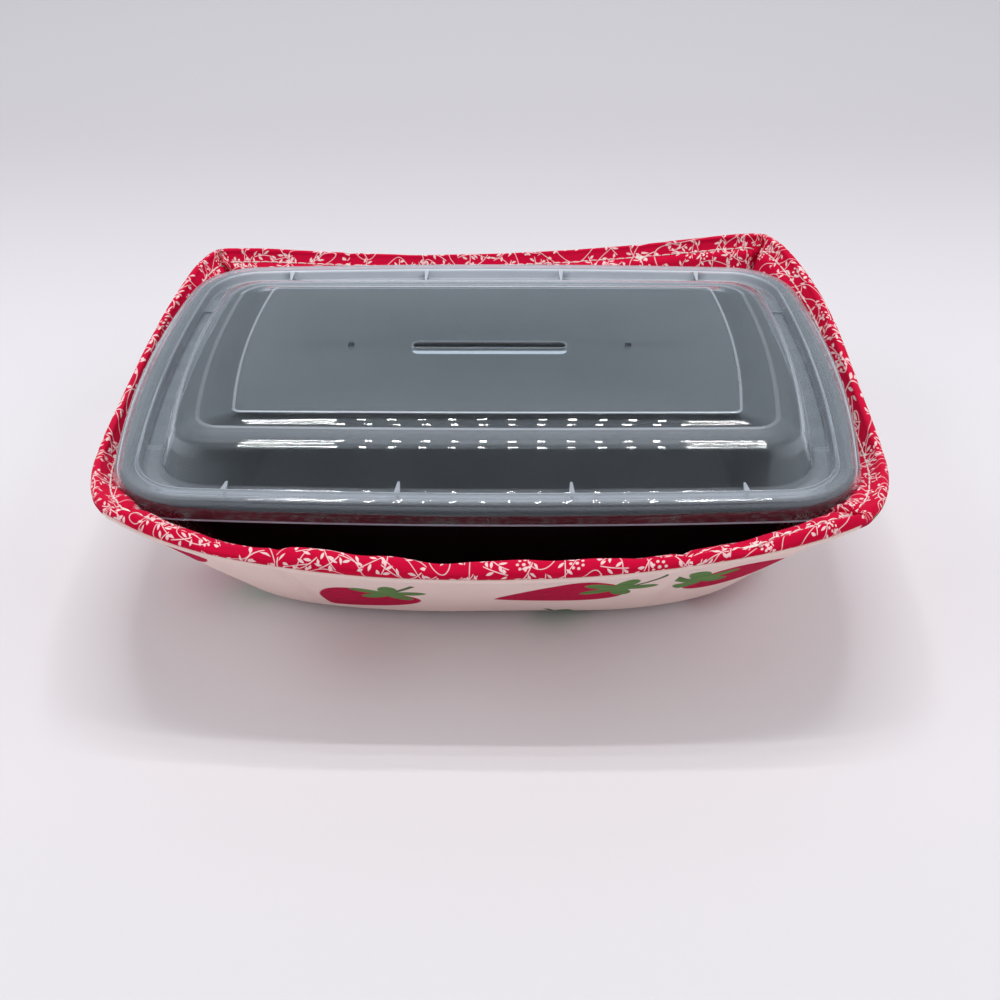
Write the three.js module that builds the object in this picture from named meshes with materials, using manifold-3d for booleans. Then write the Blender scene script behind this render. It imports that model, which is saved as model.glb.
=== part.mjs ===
// A padded fabric cozy holding a lidded meal tray, each physical piece its own closed solid.
// Millimetres, +Z up. The origin is the middle of the cozy's base on the table,
// +X runs along the long side and +Y to the back.
import * as THREE from 'three';
import Module from 'manifold-3d';

const wasm = await Module();
wasm.setup();
const { Manifold, Mesh: ManifoldMesh } = wasm;

// Cozy outline, one quarter from the middle of the front to the middle of the right end.
// RIM_KEYS follow the outer edge of the rim, FOOT_KEYS the line where the wall would meet the table.
const RIM_KEYS = [
  [0, -94.9, 45.9],
  [30, -94.3, 46.6],
  [55, -92.8, 48.8],
  [76, -90.3, 51.6],
  [93, -85.8, 54.8],
  [103.8, -81.0, 57.2],
  [108.8, -73.0, 55.6],
  [114.0, -55.5, 50.6],
  [116.3, -38, 47.4],
  [117.2, 0, 46.0],
];
const FOOT_KEYS = [
  [0, -54.8, 0],
  [26, -54.3, 0],
  [46, -52.8, 0],
  [59, -50.2, 0],
  [68, -46.4, 0],
  [75, -40.8, 0],
  [80, -34.5, 0],
  [85, -27, 0],
  [88, -19, 0],
  [89.3, 0, 0],
];
const FRONT_DART_KEY = 2;
const EAR_KEY = 5;
const END_DART_KEY = 8;
const COLUMNS_PER_KEY = 2;
const FOOT_BEND = 9;
const BEND_STEPS = 2;
const WALL_STEPS = 3;

// The padded wall swells outward between foot and rim, most of all high under the ears.
const SWELL_HEIGHT = 0.85;
const SIDE_SWELL = 1.5;
const EAR_SWELL = 7;
const EAR_REACH = 4;

// Depths of the layers below the outer face.
const OUTER_FABRIC = [0, 0.5];
const OUTER_BATTING = [0.9, 2.4];
const LINING_BATTING = [3.6, 5.1];
const LINING_FABRIC = [5.5, 6.0];
const FABRIC_EDGE_GAP = 0.35;
const BATTING_EDGE_GAP = 0.6;
const ROLL_STEPS = 4;

// Threads: thickness, clearance, and place below the rim's outer edge or between the battings.
const THREAD = 0.4;
const THREAD_GAP = 0.3;
const TOPSTITCH_DROP = 1.4;
const RIM_SEAM_DEPTH = 1.6;
const RIM_SEAM_RISE = 0.4;
const DART_THREAD_DROP = 4;
const DART_THREAD_SPREAD = 1;
const DART_THREAD_DEPTH = 3;

// Lid: rows of half length, half width, corner radius, end bow, side bow and height.
const LID_UNDER_CENTRE = 61.9;
const LID_UNDER = [
  [75.7, 38.7, 3.2, 3.0, 0.4, 61.7],
  [81.4, 44.4, 5.8, 3.2, 0.6, 59.3],
  [83.4, 45.9, 6.8, 3.2, 0.8, 59.0],
  [86.3, 51.8, 9.0, 3.1, 1.0, 58.4],
  [88.9, 54.7, 10.0, 3.0, 1.2, 57.4],
  [92.9, 65.2, 13.5, 2.8, 2.5, 52.2],
  [103.3, 69.1, 15.8, 5.0, 3.0, 52.1],
  [104.4, 70.4, 16.3, 5.4, 3.3, 54.9],
  [106.5, 72.4, 18.7, 7.0, 3.6, 55.1],
  [108.8, 74.4, 21.8, 8.7, 3.9, 54.3],
  [109.6, 75.2, 23.1, 9.3, 4.0, 53.0],
  [110.1, 75.6, 23.7, 9.3, 4.0, 50.6],
];
const LID_TOP = [
  [111.0, 76.5, 24.6, 9.3, 4.0, 50.6],
  [110.5, 76.1, 23.9, 9.3, 4.0, 53.2],
  [109.5, 75.1, 22.4, 8.8, 3.9, 55.0],
  [106.5, 72.4, 18.7, 7.0, 3.6, 56.0],
  [103.6, 69.6, 15.5, 5.4, 3.3, 55.8],
  [102.5, 68.3, 15.0, 5.0, 3.0, 53.0],
  [93.5, 65.5, 14.0, 2.8, 2.5, 53.1],
  [89.6, 55.1, 10.4, 3.0, 1.2, 58.2],
  [86.7, 52.2, 9.4, 3.1, 1.0, 59.3],
  [83.7, 46.2, 7.1, 3.2, 0.8, 59.9],
  [81.7, 44.7, 6.1, 3.2, 0.6, 60.2],
  [76.0, 39.0, 3.5, 3.0, 0.4, 62.6],
];
const LID_TOP_CENTRE = 62.8;
const LID_WALL = 0.9;

// Stacking troughs in the lid's end channels, and the grip groove across its middle.
const TROUGH_CENTRE_X = 97;
const TROUGH_HALF_LENGTH = 41;
const TROUGH_HALF_WIDTH = 2.9;
const TROUGH_DRAFT = 1.1;
const TROUGH_TOP = 53.0;
const TROUGH_FLOOR = 51.0;
const GROOVE_HALF_LENGTH = 24;
const GROOVE_HALF_WIDTH = 2.1;
const GROOVE_DRAFT = 0.6;
const GROOVE_TOP = 62.8;
const GROOVE_FLOOR = 60.9;
const SLOT_END_STEPS = 5;

// Small webs that brace the lid's front and back rim, and the moulding nubs on its top.
const WEB_X = [-72, -24, 24, 72];
const WEB_OUTER_Y = 68.9;
const WEB_BOW = 3;
const WEB_BOW_HALF = 102.5;
const WEB_INNER_Y = 62.5;
const WEB_BASE = 52.6;
const WEB_OUTER_TOP = 55.7;
const WEB_INNER_TOP = 54.9;
const WEB_OUTER_HALF = 0.8;
const WEB_INNER_HALF = 0.3;
const NUB_X = [-43.3, 43.3];
const NUB_RADIUS = 1.1;
const NUB_HEIGHT = 0.9;
const NUB_SIDES = 10;

// Tray: rows as for the lid, the outside from the base up, then the inside back down.
const TRAY_BASE_UNDER = 6.2;
const TRAY_BASE_INSIDE = 7.3;
const TRAY_OUTSIDE = [
  [77.0, 44.0, 29.0, 1.0, 0.6, 6.2],
  [81.0, 47.8, 30.0, 1.2, 0.8, 7.6],
  [84.0, 50.8, 30.5, 1.4, 1.0, 11.0],
  [85.8, 52.8, 30.0, 1.6, 1.2, 14.5],
  [103.2, 66.8, 18.0, 4.2, 3.0, 50.7],
  [109.1, 74.6, 22.8, 9.1, 3.9, 51.0],
  [109.1, 74.6, 22.8, 9.1, 3.9, 52.0],
  [107.3, 73.0, 20.4, 7.9, 3.7, 54.2],
];
const TRAY_INSIDE = [
  [105.2, 71.2, 16.8, 5.7, 3.4, 54.2],
  [104.7, 70.6, 16.5, 5.4, 3.3, 51.6],
  [102.5, 65.8, 17.2, 4.2, 3.0, 51.4],
  [84.8, 51.8, 29.2, 1.6, 1.2, 15.0],
  [83.0, 49.8, 29.6, 1.4, 1.0, 11.6],
  [80.2, 47.0, 29.2, 1.2, 0.8, 8.5],
  [76.6, 43.6, 28.6, 1.0, 0.6, 7.3],
];
const SIDE_STEPS = 3;
const CORNER_STEPS = 6;
const END_STEPS = 3;

// A closed solid skinned over rings of points; fans to the two centres close its ends.
// Rings run anticlockwise seen from above, outward along the underside and back along the top.
function ringSolid(rings, firstCentre, lastCentre) {
  const count = rings[0].length;
  const points = rings.flat();
  const faces = [];
  const first = points.length;
  const last = first + 1;
  const lastRing = (rings.length - 1) * count;
  for (let k = 0; k < count; k += 1) {
    const next = (k + 1) % count;
    faces.push(first, next, k);
    faces.push(last, lastRing + k, lastRing + next);
  }
  addBands(faces, rings.length - 1, count);
  return geometryOf([...points, firstCentre, lastCentre], faces);
}

// A closed loop of tube skinned over rings, the last ring joined back to the first.
function loopSolid(rings) {
  const faces = [];
  addBands(faces, rings.length, rings[0].length, rings.length);
  return geometryOf(rings.flat(), faces);
}

function addBands(faces, bands, count, wrap = bands + 1) {
  for (let r = 0; r < bands; r += 1) {
    const here = r * count;
    const there = ((r + 1) % wrap) * count;
    for (let k = 0; k < count; k += 1) {
      const next = (k + 1) % count;
      faces.push(here + k, here + next, there + next);
      faces.push(here + k, there + next, there + k);
    }
  }
}

function geometryOf(points, faces) {
  const geometry = new THREE.BufferGeometry();
  const numbers = points.flatMap((p) => [p.x, p.y, p.z]);
  geometry.setAttribute('position', new THREE.Float32BufferAttribute(numbers, 3));
  geometry.setIndex(faces);
  return geometry;
}

function toManifold(geometry) {
  return new Manifold(new ManifoldMesh({
    numProp: 3,
    vertProperties: new Float32Array(geometry.attributes.position.array),
    triVerts: new Uint32Array(geometry.index.array),
  }));
}

function fromManifold(solid) {
  const mesh = solid.getMesh();
  const geometry = new THREE.BufferGeometry();
  geometry.setAttribute('position', new THREE.Float32BufferAttribute(mesh.vertProperties, 3));
  geometry.setIndex(Array.from(mesh.triVerts));
  return geometry;
}

// The four mirrored quarters of a key list as one closed curve.
function closedCurve(keys) {
  const quarter = keys.map(([x, y, z]) => new THREE.Vector3(x, y, z));
  const last = quarter.length - 1;
  const loop = [];
  for (let k = 0; k < last; k += 1) {
    loop.push(quarter[k].clone());
  }
  for (let k = last; k > 0; k -= 1) {
    loop.push(new THREE.Vector3(quarter[k].x, -quarter[k].y, quarter[k].z));
  }
  for (let k = 0; k < last; k += 1) {
    loop.push(new THREE.Vector3(-quarter[k].x, -quarter[k].y, quarter[k].z));
  }
  for (let k = last; k > 0; k -= 1) {
    loop.push(new THREE.Vector3(-quarter[k].x, quarter[k].y, quarter[k].z));
  }
  return new THREE.CatmullRomCurve3(loop, true, 'centripetal');
}

const rimCurve = closedCurve(RIM_KEYS);
const footCurve = closedCurve(FOOT_KEYS);
const QUARTER = RIM_KEYS.length - 1;
const KEY_COUNT = 4 * QUARTER;
const COLUMNS = KEY_COUNT * COLUMNS_PER_KEY;
const UP = new THREE.Vector3(0, 0, 1);

// How far the wall swells outward at a place in the loop of keys.
function swellAt(t) {
  const key = (t * KEY_COUNT) % (2 * QUARTER);
  const inQuarter = Math.min(key, 2 * QUARTER - key);
  const nearEar = Math.max(0, 1 - Math.abs(inQuarter - EAR_KEY) / EAR_REACH);
  return SIDE_SWELL + (EAR_SWELL - SIDE_SWELL) * nearEar * nearEar * (3 - 2 * nearEar);
}

// The point at fraction s of the bow from a to b that leans towards the corner.
function bowPoint(a, corner, b, s) {
  return a.clone().multiplyScalar((1 - s) ** 2)
    .addScaledVector(corner, 2 * s * (1 - s))
    .addScaledVector(b, s * s);
}

// One column of the outer face: flat base, bend at the foot, then the swelling wall up to the rim.
function outerColumn(t) {
  const rim = rimCurve.getPoint(t);
  const foot = footCurve.getPoint(t);
  const out = new THREE.Vector3(rim.x - foot.x, rim.y - foot.y, 0).normalize();
  const chord = rim.clone().sub(foot);
  const belly = foot.clone().addScaledVector(chord, SWELL_HEIGHT);
  chord.normalize();
  const outward = out.clone().multiplyScalar(chord.z).addScaledVector(UP, -chord.dot(out));
  belly.addScaledVector(outward, swellAt(t));
  const base = foot.clone().addScaledVector(out, -FOOT_BEND);
  const wallFoot = foot.clone().addScaledVector(belly.clone().sub(foot).normalize(), FOOT_BEND);
  const column = [];
  for (let step = 0; step < BEND_STEPS; step += 1) {
    column.push(bowPoint(base, foot, wallFoot, step / BEND_STEPS));
  }
  for (let step = 0; step <= WALL_STEPS; step += 1) {
    column.push(bowPoint(wallFoot, belly, rim, step / WALL_STEPS));
  }
  return column;
}

// The outer face as a grid, with the inward normal, the round and the upward direction at each point.
const ROWS = BEND_STEPS + WALL_STEPS + 1;
const RIM_ROW = ROWS - 1;
const columns = [];
for (let c = 0; c < COLUMNS; c += 1) {
  columns.push(outerColumn(c / COLUMNS));
}
const grid = columns.map((column, c) => column.map((point, row) => {
  const before = columns[(c + COLUMNS - 1) % COLUMNS][row];
  const after = columns[(c + 1) % COLUMNS][row];
  const round = after.clone().sub(before).normalize();
  const above = column[Math.min(row + 1, RIM_ROW)].clone().sub(point).normalize();
  const below = point.clone().sub(column[Math.max(row - 1, 0)]).normalize();
  const rise = above.add(below);
  if (row === 0) {
    rise.z = 0;
  }
  const inward = round.clone().cross(rise).negate().normalize();
  const upward = inward.clone().cross(round).negate().normalize();
  return { point, inward, upward, round };
}));

// A place near the rim at a depth below the outer face and a drop below the rim's outer edge.
function rimPoint(c, depth, drop) {
  const spot = grid[c][RIM_ROW];
  return spot.point.clone().addScaledVector(spot.inward, depth).addScaledVector(spot.upward, -drop);
}

function rimRing(depth, drop) {
  return grid.map((_, c) => rimPoint(c, depth, drop));
}

// The rings of one layer face, from the flat base round the bend and up the wall.
function faceRings(depth, drop) {
  const rings = [];
  for (let row = 0; row < RIM_ROW; row += 1) {
    rings.push(grid.map((column) => column[row].point.clone().addScaledVector(column[row].inward, depth)));
  }
  rings.push(rimRing(depth, drop));
  return rings;
}

function layerSolid([outside, inside], drop) {
  const rings = [...faceRings(outside, drop), ...faceRings(inside, drop).reverse()];
  return ringSolid(rings, new THREE.Vector3(0, 0, outside), new THREE.Vector3(0, 0, inside));
}

// Rings of a half-round turned over the rim from one depth to the other.
function rollRings(radius, middle, fromAngle, toAngle) {
  const rings = [];
  for (let step = 1; step < ROLL_STEPS; step += 1) {
    const angle = fromAngle + ((toAngle - fromAngle) * step) / ROLL_STEPS;
    rings.push(rimRing(middle + radius * Math.cos(angle), -radius * Math.sin(angle)));
  }
  return rings;
}

// The lining covers the inside and rolls over the whole edge, down to the outer face.
function liningSolid() {
  const [under, over] = LINING_FABRIC;
  const middle = over / 2;
  const innerRadius = under - middle;
  const rings = [
    ...faceRings(under, 0),
    ...rollRings(innerRadius, middle, 0, Math.PI),
    rimRing(middle - innerRadius, 0),
    rimRing(0, 0),
    ...rollRings(middle, middle, Math.PI, 0),
    ...faceRings(over, 0).reverse(),
  ];
  return ringSolid(rings, new THREE.Vector3(0, 0, under), new THREE.Vector3(0, 0, over));
}

// A three-sided thread that runs all round the rim.
function rimThread(depth, drop) {
  const half = THREAD / 2;
  const section = [[half, half], [-half, half], [0, -half]];
  return loopSolid(section.map(([d, h]) => rimRing(depth + d, drop + h)));
}

// A bar skinned over four-cornered sections, its ends closed flat.
function barSolid(sections) {
  const tail = 4 * (sections.length - 1);
  const faces = [0, 1, 2, 0, 2, 3, tail, tail + 2, tail + 1, tail, tail + 3, tail + 2];
  for (let r = 0; r < tail; r += 4) {
    for (let k = 0; k < 4; k += 1) {
      const next = (k + 1) % 4;
      faces.push(r + k, r + k + 4, r + next + 4, r + k, r + next + 4, r + next);
    }
  }
  return geometryOf(sections.flat(), faces);
}

// A thread down the wall along a dart, between the two battings.
function dartThread(key, spread) {
  const column = grid[key * COLUMNS_PER_KEY];
  const half = THREAD / 2;
  const sections = [];
  for (let row = BEND_STEPS; row <= RIM_ROW; row += 1) {
    const { point, inward, upward, round } = column[row];
    const drop = row === RIM_ROW ? DART_THREAD_DROP : 0;
    sections.push([[half, -half], [half, half], [-half, half], [-half, -half]].map(([d, shift]) => (
      point.clone().addScaledVector(inward, DART_THREAD_DEPTH + d)
        .addScaledVector(upward, -drop)
        .addScaledVector(round, spread + shift))));
  }
  return barSolid(sections);
}

// A rounded rectangle whose ends and sides bow outward in the middle.
function bowedRing([halfX, halfY, radius, endBow, sideBow, z]) {
  const sideAt = (x) => halfY - radius - sideBow * (x / halfX) ** 2;
  const endAt = (y) => halfX - radius - endBow * (y / halfY) ** 2;
  let cornerX = halfX - radius - endBow;
  let cornerY = halfY - radius - sideBow;
  for (let pass = 0; pass < 8; pass += 1) {
    cornerX = endAt(cornerY);
    cornerY = sideAt(cornerX);
  }
  const sideLean = Math.atan((2 * sideBow * cornerX) / halfX ** 2);
  const endLean = Math.atan((2 * endBow * cornerY) / halfY ** 2);
  const quarter = [];
  for (let k = 0; k < SIDE_STEPS; k += 1) {
    const x = (cornerX * k) / SIDE_STEPS;
    const lean = Math.atan((2 * sideBow * x) / halfX ** 2);
    quarter.push([x + radius * Math.sin(lean), sideAt(x) + radius * Math.cos(lean)]);
  }
  for (let k = 0; k <= CORNER_STEPS; k += 1) {
    const angle = sideLean + ((Math.PI / 2 - endLean - sideLean) * k) / CORNER_STEPS;
    quarter.push([cornerX + radius * Math.sin(angle), cornerY + radius * Math.cos(angle)]);
  }
  for (let k = END_STEPS - 1; k > 0; k -= 1) {
    const y = (cornerY * k) / END_STEPS;
    const lean = Math.atan((2 * endBow * y) / halfY ** 2);
    quarter.push([endAt(y) + radius * Math.cos(lean), y + radius * Math.sin(lean)]);
  }
  const endMiddle = [halfX, 0];
  const down = [...quarter, endMiddle];
  const point = (x, y) => new THREE.Vector3(x, y, z);
  const ring = down.map(([x, y]) => point(x, -y));
  for (let k = down.length - 2; k >= 0; k -= 1) {
    ring.push(point(down[k][0], down[k][1]));
  }
  for (let k = 1; k < down.length; k += 1) {
    ring.push(point(-down[k][0], down[k][1]));
  }
  for (let k = down.length - 2; k > 0; k -= 1) {
    ring.push(point(-down[k][0], -down[k][1]));
  }
  return ring;
}

// A round-ended slot outline, long axis along X or Y.
function slotRing(centre, halfLength, halfWidth, z, alongY) {
  const ring = [];
  for (const side of [1, -1]) {
    for (let k = 0; k <= SLOT_END_STEPS; k += 1) {
      const angle = -Math.PI / 2 + (Math.PI * k) / SLOT_END_STEPS;
      const u = side * (halfLength - halfWidth + halfWidth * Math.cos(angle));
      const v = side * halfWidth * Math.sin(angle);
      ring.push(alongY ? new THREE.Vector3(centre.x - v, centre.y + u, z)
        : new THREE.Vector3(centre.x + u, centre.y + v, z));
    }
  }
  return ring;
}

function slotSolid(centre, lower, upper, alongY) {
  const rings = [lower, upper].map((row) => slotRing(centre, row[0], row[1], row[2], alongY));
  const middle = (z) => new THREE.Vector3(centre.x, centre.y, z);
  return toManifold(ringSolid(rings, middle(lower[2]), middle(upper[2])));
}

// Sink a round-ended trough into the lid: add its thin shell below, then cut the hollow.
function sinkTrough(lid, centre, halfLength, halfWidth, draft, top, floor, alongY) {
  const shell = slotSolid(
    centre,
    [halfLength - draft + LID_WALL, halfWidth - draft + LID_WALL, floor - LID_WALL],
    [halfLength + LID_WALL, halfWidth + LID_WALL, top - LID_WALL / 2],
    alongY,
  );
  const clear = 0.5;
  const grow = (draft * clear) / (top - floor);
  const hollow = slotSolid(
    centre,
    [halfLength - draft, halfWidth - draft, floor],
    [halfLength + grow, halfWidth + grow, top + clear],
    alongY,
  );
  return lid.add(shell).subtract(hollow);
}

// A thin tapering web from the lid's rim to the foot of its dome.
function webSolid(x, side) {
  const section = (y, half, top) => [
    new THREE.Vector3(x - half, side * y, WEB_BASE),
    new THREE.Vector3(x + half, side * y, WEB_BASE),
    new THREE.Vector3(x + half, side * y, top),
    new THREE.Vector3(x - half, side * y, top),
  ];
  const outerY = WEB_OUTER_Y - WEB_BOW * (x / WEB_BOW_HALF) ** 2;
  const outer = section(outerY, WEB_OUTER_HALF, WEB_OUTER_TOP);
  const inner = section(WEB_INNER_Y, WEB_INNER_HALF, WEB_INNER_TOP);
  return toManifold(barSolid(side < 0 ? [outer, inner] : [inner, outer]));
}

function nubSolid(x) {
  const ringAt = (radius, z) => Array.from({ length: NUB_SIDES }, (_, k) => {
    const angle = (2 * Math.PI * k) / NUB_SIDES;
    return new THREE.Vector3(x + radius * Math.cos(angle), radius * Math.sin(angle), z);
  });
  const foot = LID_TOP_CENTRE - LID_WALL / 2;
  const crown = LID_TOP_CENTRE + NUB_HEIGHT;
  const rings = [ringAt(NUB_RADIUS, foot), ringAt(NUB_RADIUS / 2, crown)];
  return toManifold(ringSolid(rings, new THREE.Vector3(x, 0, foot), new THREE.Vector3(x, 0, crown)));
}

function lidSolid() {
  const rings = [...LID_UNDER, ...LID_TOP].map(bowedRing);
  const shell = ringSolid(
    rings,
    new THREE.Vector3(0, 0, LID_UNDER_CENTRE),
    new THREE.Vector3(0, 0, LID_TOP_CENTRE),
  );
  let lid = toManifold(shell);
  for (const x of WEB_X) {
    lid = lid.add(webSolid(x, -1)).add(webSolid(x, 1));
  }
  for (const x of NUB_X) {
    lid = lid.add(nubSolid(x));
  }
  for (const side of [-1, 1]) {
    lid = sinkTrough(lid, new THREE.Vector2(side * TROUGH_CENTRE_X, 0), TROUGH_HALF_LENGTH,
      TROUGH_HALF_WIDTH, TROUGH_DRAFT, TROUGH_TOP, TROUGH_FLOOR, true);
  }
  lid = sinkTrough(lid, new THREE.Vector2(0, 0), GROOVE_HALF_LENGTH, GROOVE_HALF_WIDTH,
    GROOVE_DRAFT, GROOVE_TOP, GROOVE_FLOOR, false);
  return fromManifold(lid);
}

function traySolid() {
  const rings = [...TRAY_OUTSIDE, ...TRAY_INSIDE].map(bowedRing);
  return ringSolid(
    rings,
    new THREE.Vector3(0, 0, TRAY_BASE_UNDER),
    new THREE.Vector3(0, 0, TRAY_BASE_INSIDE),
  );
}

// Colours and finishes.
const CREAM_PRINT = { color: 0xe9dcd2, roughness: 0.9, metalness: 0 };
const RED_CALICO = { color: 0xb8122a, roughness: 0.9, metalness: 0 };
const WHITE_BATTING = { color: 0xf2efe8, roughness: 1, metalness: 0 };
const WHITE_THREAD = { color: 0xf4f0ea, roughness: 0.8, metalness: 0 };
const BLACK_PLASTIC = { color: 0x121315, roughness: 0.4, metalness: 0 };
const CLEAR_PLASTIC = { color: 0xdfe6ea, roughness: 0.15, metalness: 0, transparent: true, opacity: 0.35 };

const group = new THREE.Group();
group.name = 'microwave_container_cozy';

function addPart(name, geometry, finish) {
  geometry.computeVertexNormals();
  const mesh = new THREE.Mesh(geometry, new THREE.MeshStandardMaterial(finish));
  mesh.name = name;
  group.add(mesh);
}

addPart('outer_fabric', layerSolid(OUTER_FABRIC, FABRIC_EDGE_GAP), CREAM_PRINT);
addPart('outer_batting', layerSolid(OUTER_BATTING, BATTING_EDGE_GAP), WHITE_BATTING);
addPart('lining_batting', layerSolid(LINING_BATTING, BATTING_EDGE_GAP), WHITE_BATTING);
addPart('lining_fabric', liningSolid(), RED_CALICO);
addPart('rim_seam_thread', rimThread(RIM_SEAM_DEPTH, -RIM_SEAM_RISE), WHITE_THREAD);
const proud = THREAD_GAP + THREAD / 2;
addPart('topstitch_needle_thread', rimThread(LINING_FABRIC[1] + proud, TOPSTITCH_DROP), WHITE_THREAD);
addPart('topstitch_bobbin_thread', rimThread(-proud, TOPSTITCH_DROP), WHITE_THREAD);

// Two darts on each side of each panel, by their place in the loop of keys.
const DARTS = [
  ['front_right', FRONT_DART_KEY],
  ['right_front', END_DART_KEY],
  ['right_back', 2 * QUARTER - END_DART_KEY],
  ['back_right', 2 * QUARTER - FRONT_DART_KEY],
  ['back_left', 2 * QUARTER + FRONT_DART_KEY],
  ['left_back', 2 * QUARTER + END_DART_KEY],
  ['left_front', 4 * QUARTER - END_DART_KEY],
  ['front_left', 4 * QUARTER - FRONT_DART_KEY],
];
for (const [place, key] of DARTS) {
  addPart(`outer_dart_thread_${place}`, dartThread(key, -DART_THREAD_SPREAD), WHITE_THREAD);
  addPart(`lining_dart_thread_${place}`, dartThread(key, DART_THREAD_SPREAD), WHITE_THREAD);
}

addPart('meal_tray', traySolid(), BLACK_PLASTIC);
addPart('tray_lid', lidSolid(), CLEAR_PLASTIC);

export default group;
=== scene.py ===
# %% [markdown]
# # A padded cozy and its lidded meal tray
# The real thing is sewn: a printed outer panel and a red lining, each backed with batting, darted so
# that the sides stand up, joined round the rim and topstitched. A shallow black meal tray sits in it,
# closed by a clear press-on lid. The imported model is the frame: every piece below is made in the same
# metres and in the same place, and stands for the plain solid that the simulation keeps.

# %% Load the frame
import math
import bmesh
import bpy
import numpy as np
from mathutils import Matrix, Vector, noise
from mathutils.kdtree import KDTree


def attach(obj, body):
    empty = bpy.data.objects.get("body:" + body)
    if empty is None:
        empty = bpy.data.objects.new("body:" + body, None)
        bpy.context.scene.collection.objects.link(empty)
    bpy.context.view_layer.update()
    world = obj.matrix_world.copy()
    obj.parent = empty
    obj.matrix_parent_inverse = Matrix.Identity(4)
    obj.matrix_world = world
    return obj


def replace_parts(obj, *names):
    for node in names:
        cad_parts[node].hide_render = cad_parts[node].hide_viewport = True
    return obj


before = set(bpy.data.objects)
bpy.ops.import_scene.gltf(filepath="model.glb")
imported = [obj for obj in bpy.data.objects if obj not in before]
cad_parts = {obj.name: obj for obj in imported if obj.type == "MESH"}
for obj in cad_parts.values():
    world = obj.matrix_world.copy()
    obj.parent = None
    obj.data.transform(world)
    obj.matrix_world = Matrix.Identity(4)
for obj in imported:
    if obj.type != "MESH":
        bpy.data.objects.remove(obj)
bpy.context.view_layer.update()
MM = 0.001
MM_PER_METRE = 1000.0

# %% [markdown]
# ## Camera
# The camera stands in front of the cozy and looks down on it. Its place and lens were worked out from
# the lid's straight edges, so that a point of the frame lands on the same spot as in the picture.

# %% Camera
CAMERA_PLACE = Vector((0.0101, -0.3639, 0.2651))
CAMERA_LENS = 47.6
CAMERA_NEAR = 0.01
LOOK_DOWN = math.radians(35.68)
LOOK_LEFT = math.radians(1.13)
CAMERA_ROLL = math.radians(-0.47)

camera = bpy.data.cameras.new("camera")
camera.lens = CAMERA_LENS
camera.clip_start = CAMERA_NEAR
camera_object = bpy.data.objects.new("camera", camera)
bpy.context.collection.objects.link(camera_object)
look = Matrix.Rotation(LOOK_LEFT, 4, "Z") @ Matrix.Rotation(math.pi / 2 - LOOK_DOWN, 4, "X")
look = look @ Matrix.Rotation(CAMERA_ROLL, 4, "Z")
camera_object.matrix_world = Matrix.Translation(CAMERA_PLACE) @ look
bpy.context.scene.camera = camera_object
bpy.context.scene.view_settings.view_transform = "Standard"
print("camera at", tuple(CAMERA_PLACE))

# %% [markdown]
# ## Shader helpers
# A finish is a small network of nodes. Writing it as arithmetic keeps it readable: `Value` wraps one
# output, and adding or multiplying values adds the Math nodes. `Finish.add` makes any other node.


# %% Shader helpers
class Value:
    """One output of a node; arithmetic on it adds Math nodes."""

    def __init__(self, finish, socket):
        self.finish = finish
        self.socket = socket

    def __add__(self, other):
        return self.finish.math("ADD", self, other)

    def __sub__(self, other):
        return self.finish.math("SUBTRACT", self, other)

    def __rsub__(self, other):
        return self.finish.math("SUBTRACT", other, self)

    def __mul__(self, other):
        return self.finish.math("MULTIPLY", self, other)

    def __truediv__(self, other):
        return self.finish.math("DIVIDE", self, other)

    def __pow__(self, other):
        return self.finish.math("POWER", self, other)

    def __mod__(self, other):
        return self.finish.math("FLOORED_MODULO", self, other)

    def __abs__(self):
        return self.finish.math("ABSOLUTE", self)

    __radd__ = __add__
    __rmul__ = __mul__


class Made:
    """A node that was added; its outputs are read by name."""

    def __init__(self, finish, node):
        self.finish = finish
        self.node = node

    def __getitem__(self, name):
        return Value(self.finish, find_socket(self.node.outputs, name))


def find_socket(sockets, name):
    """A socket by its place, its identifier or its name."""
    if isinstance(name, int):
        return sockets[name]
    for socket in sockets:
        if socket.identifier == name:
            return socket
    return sockets[name]


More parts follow.
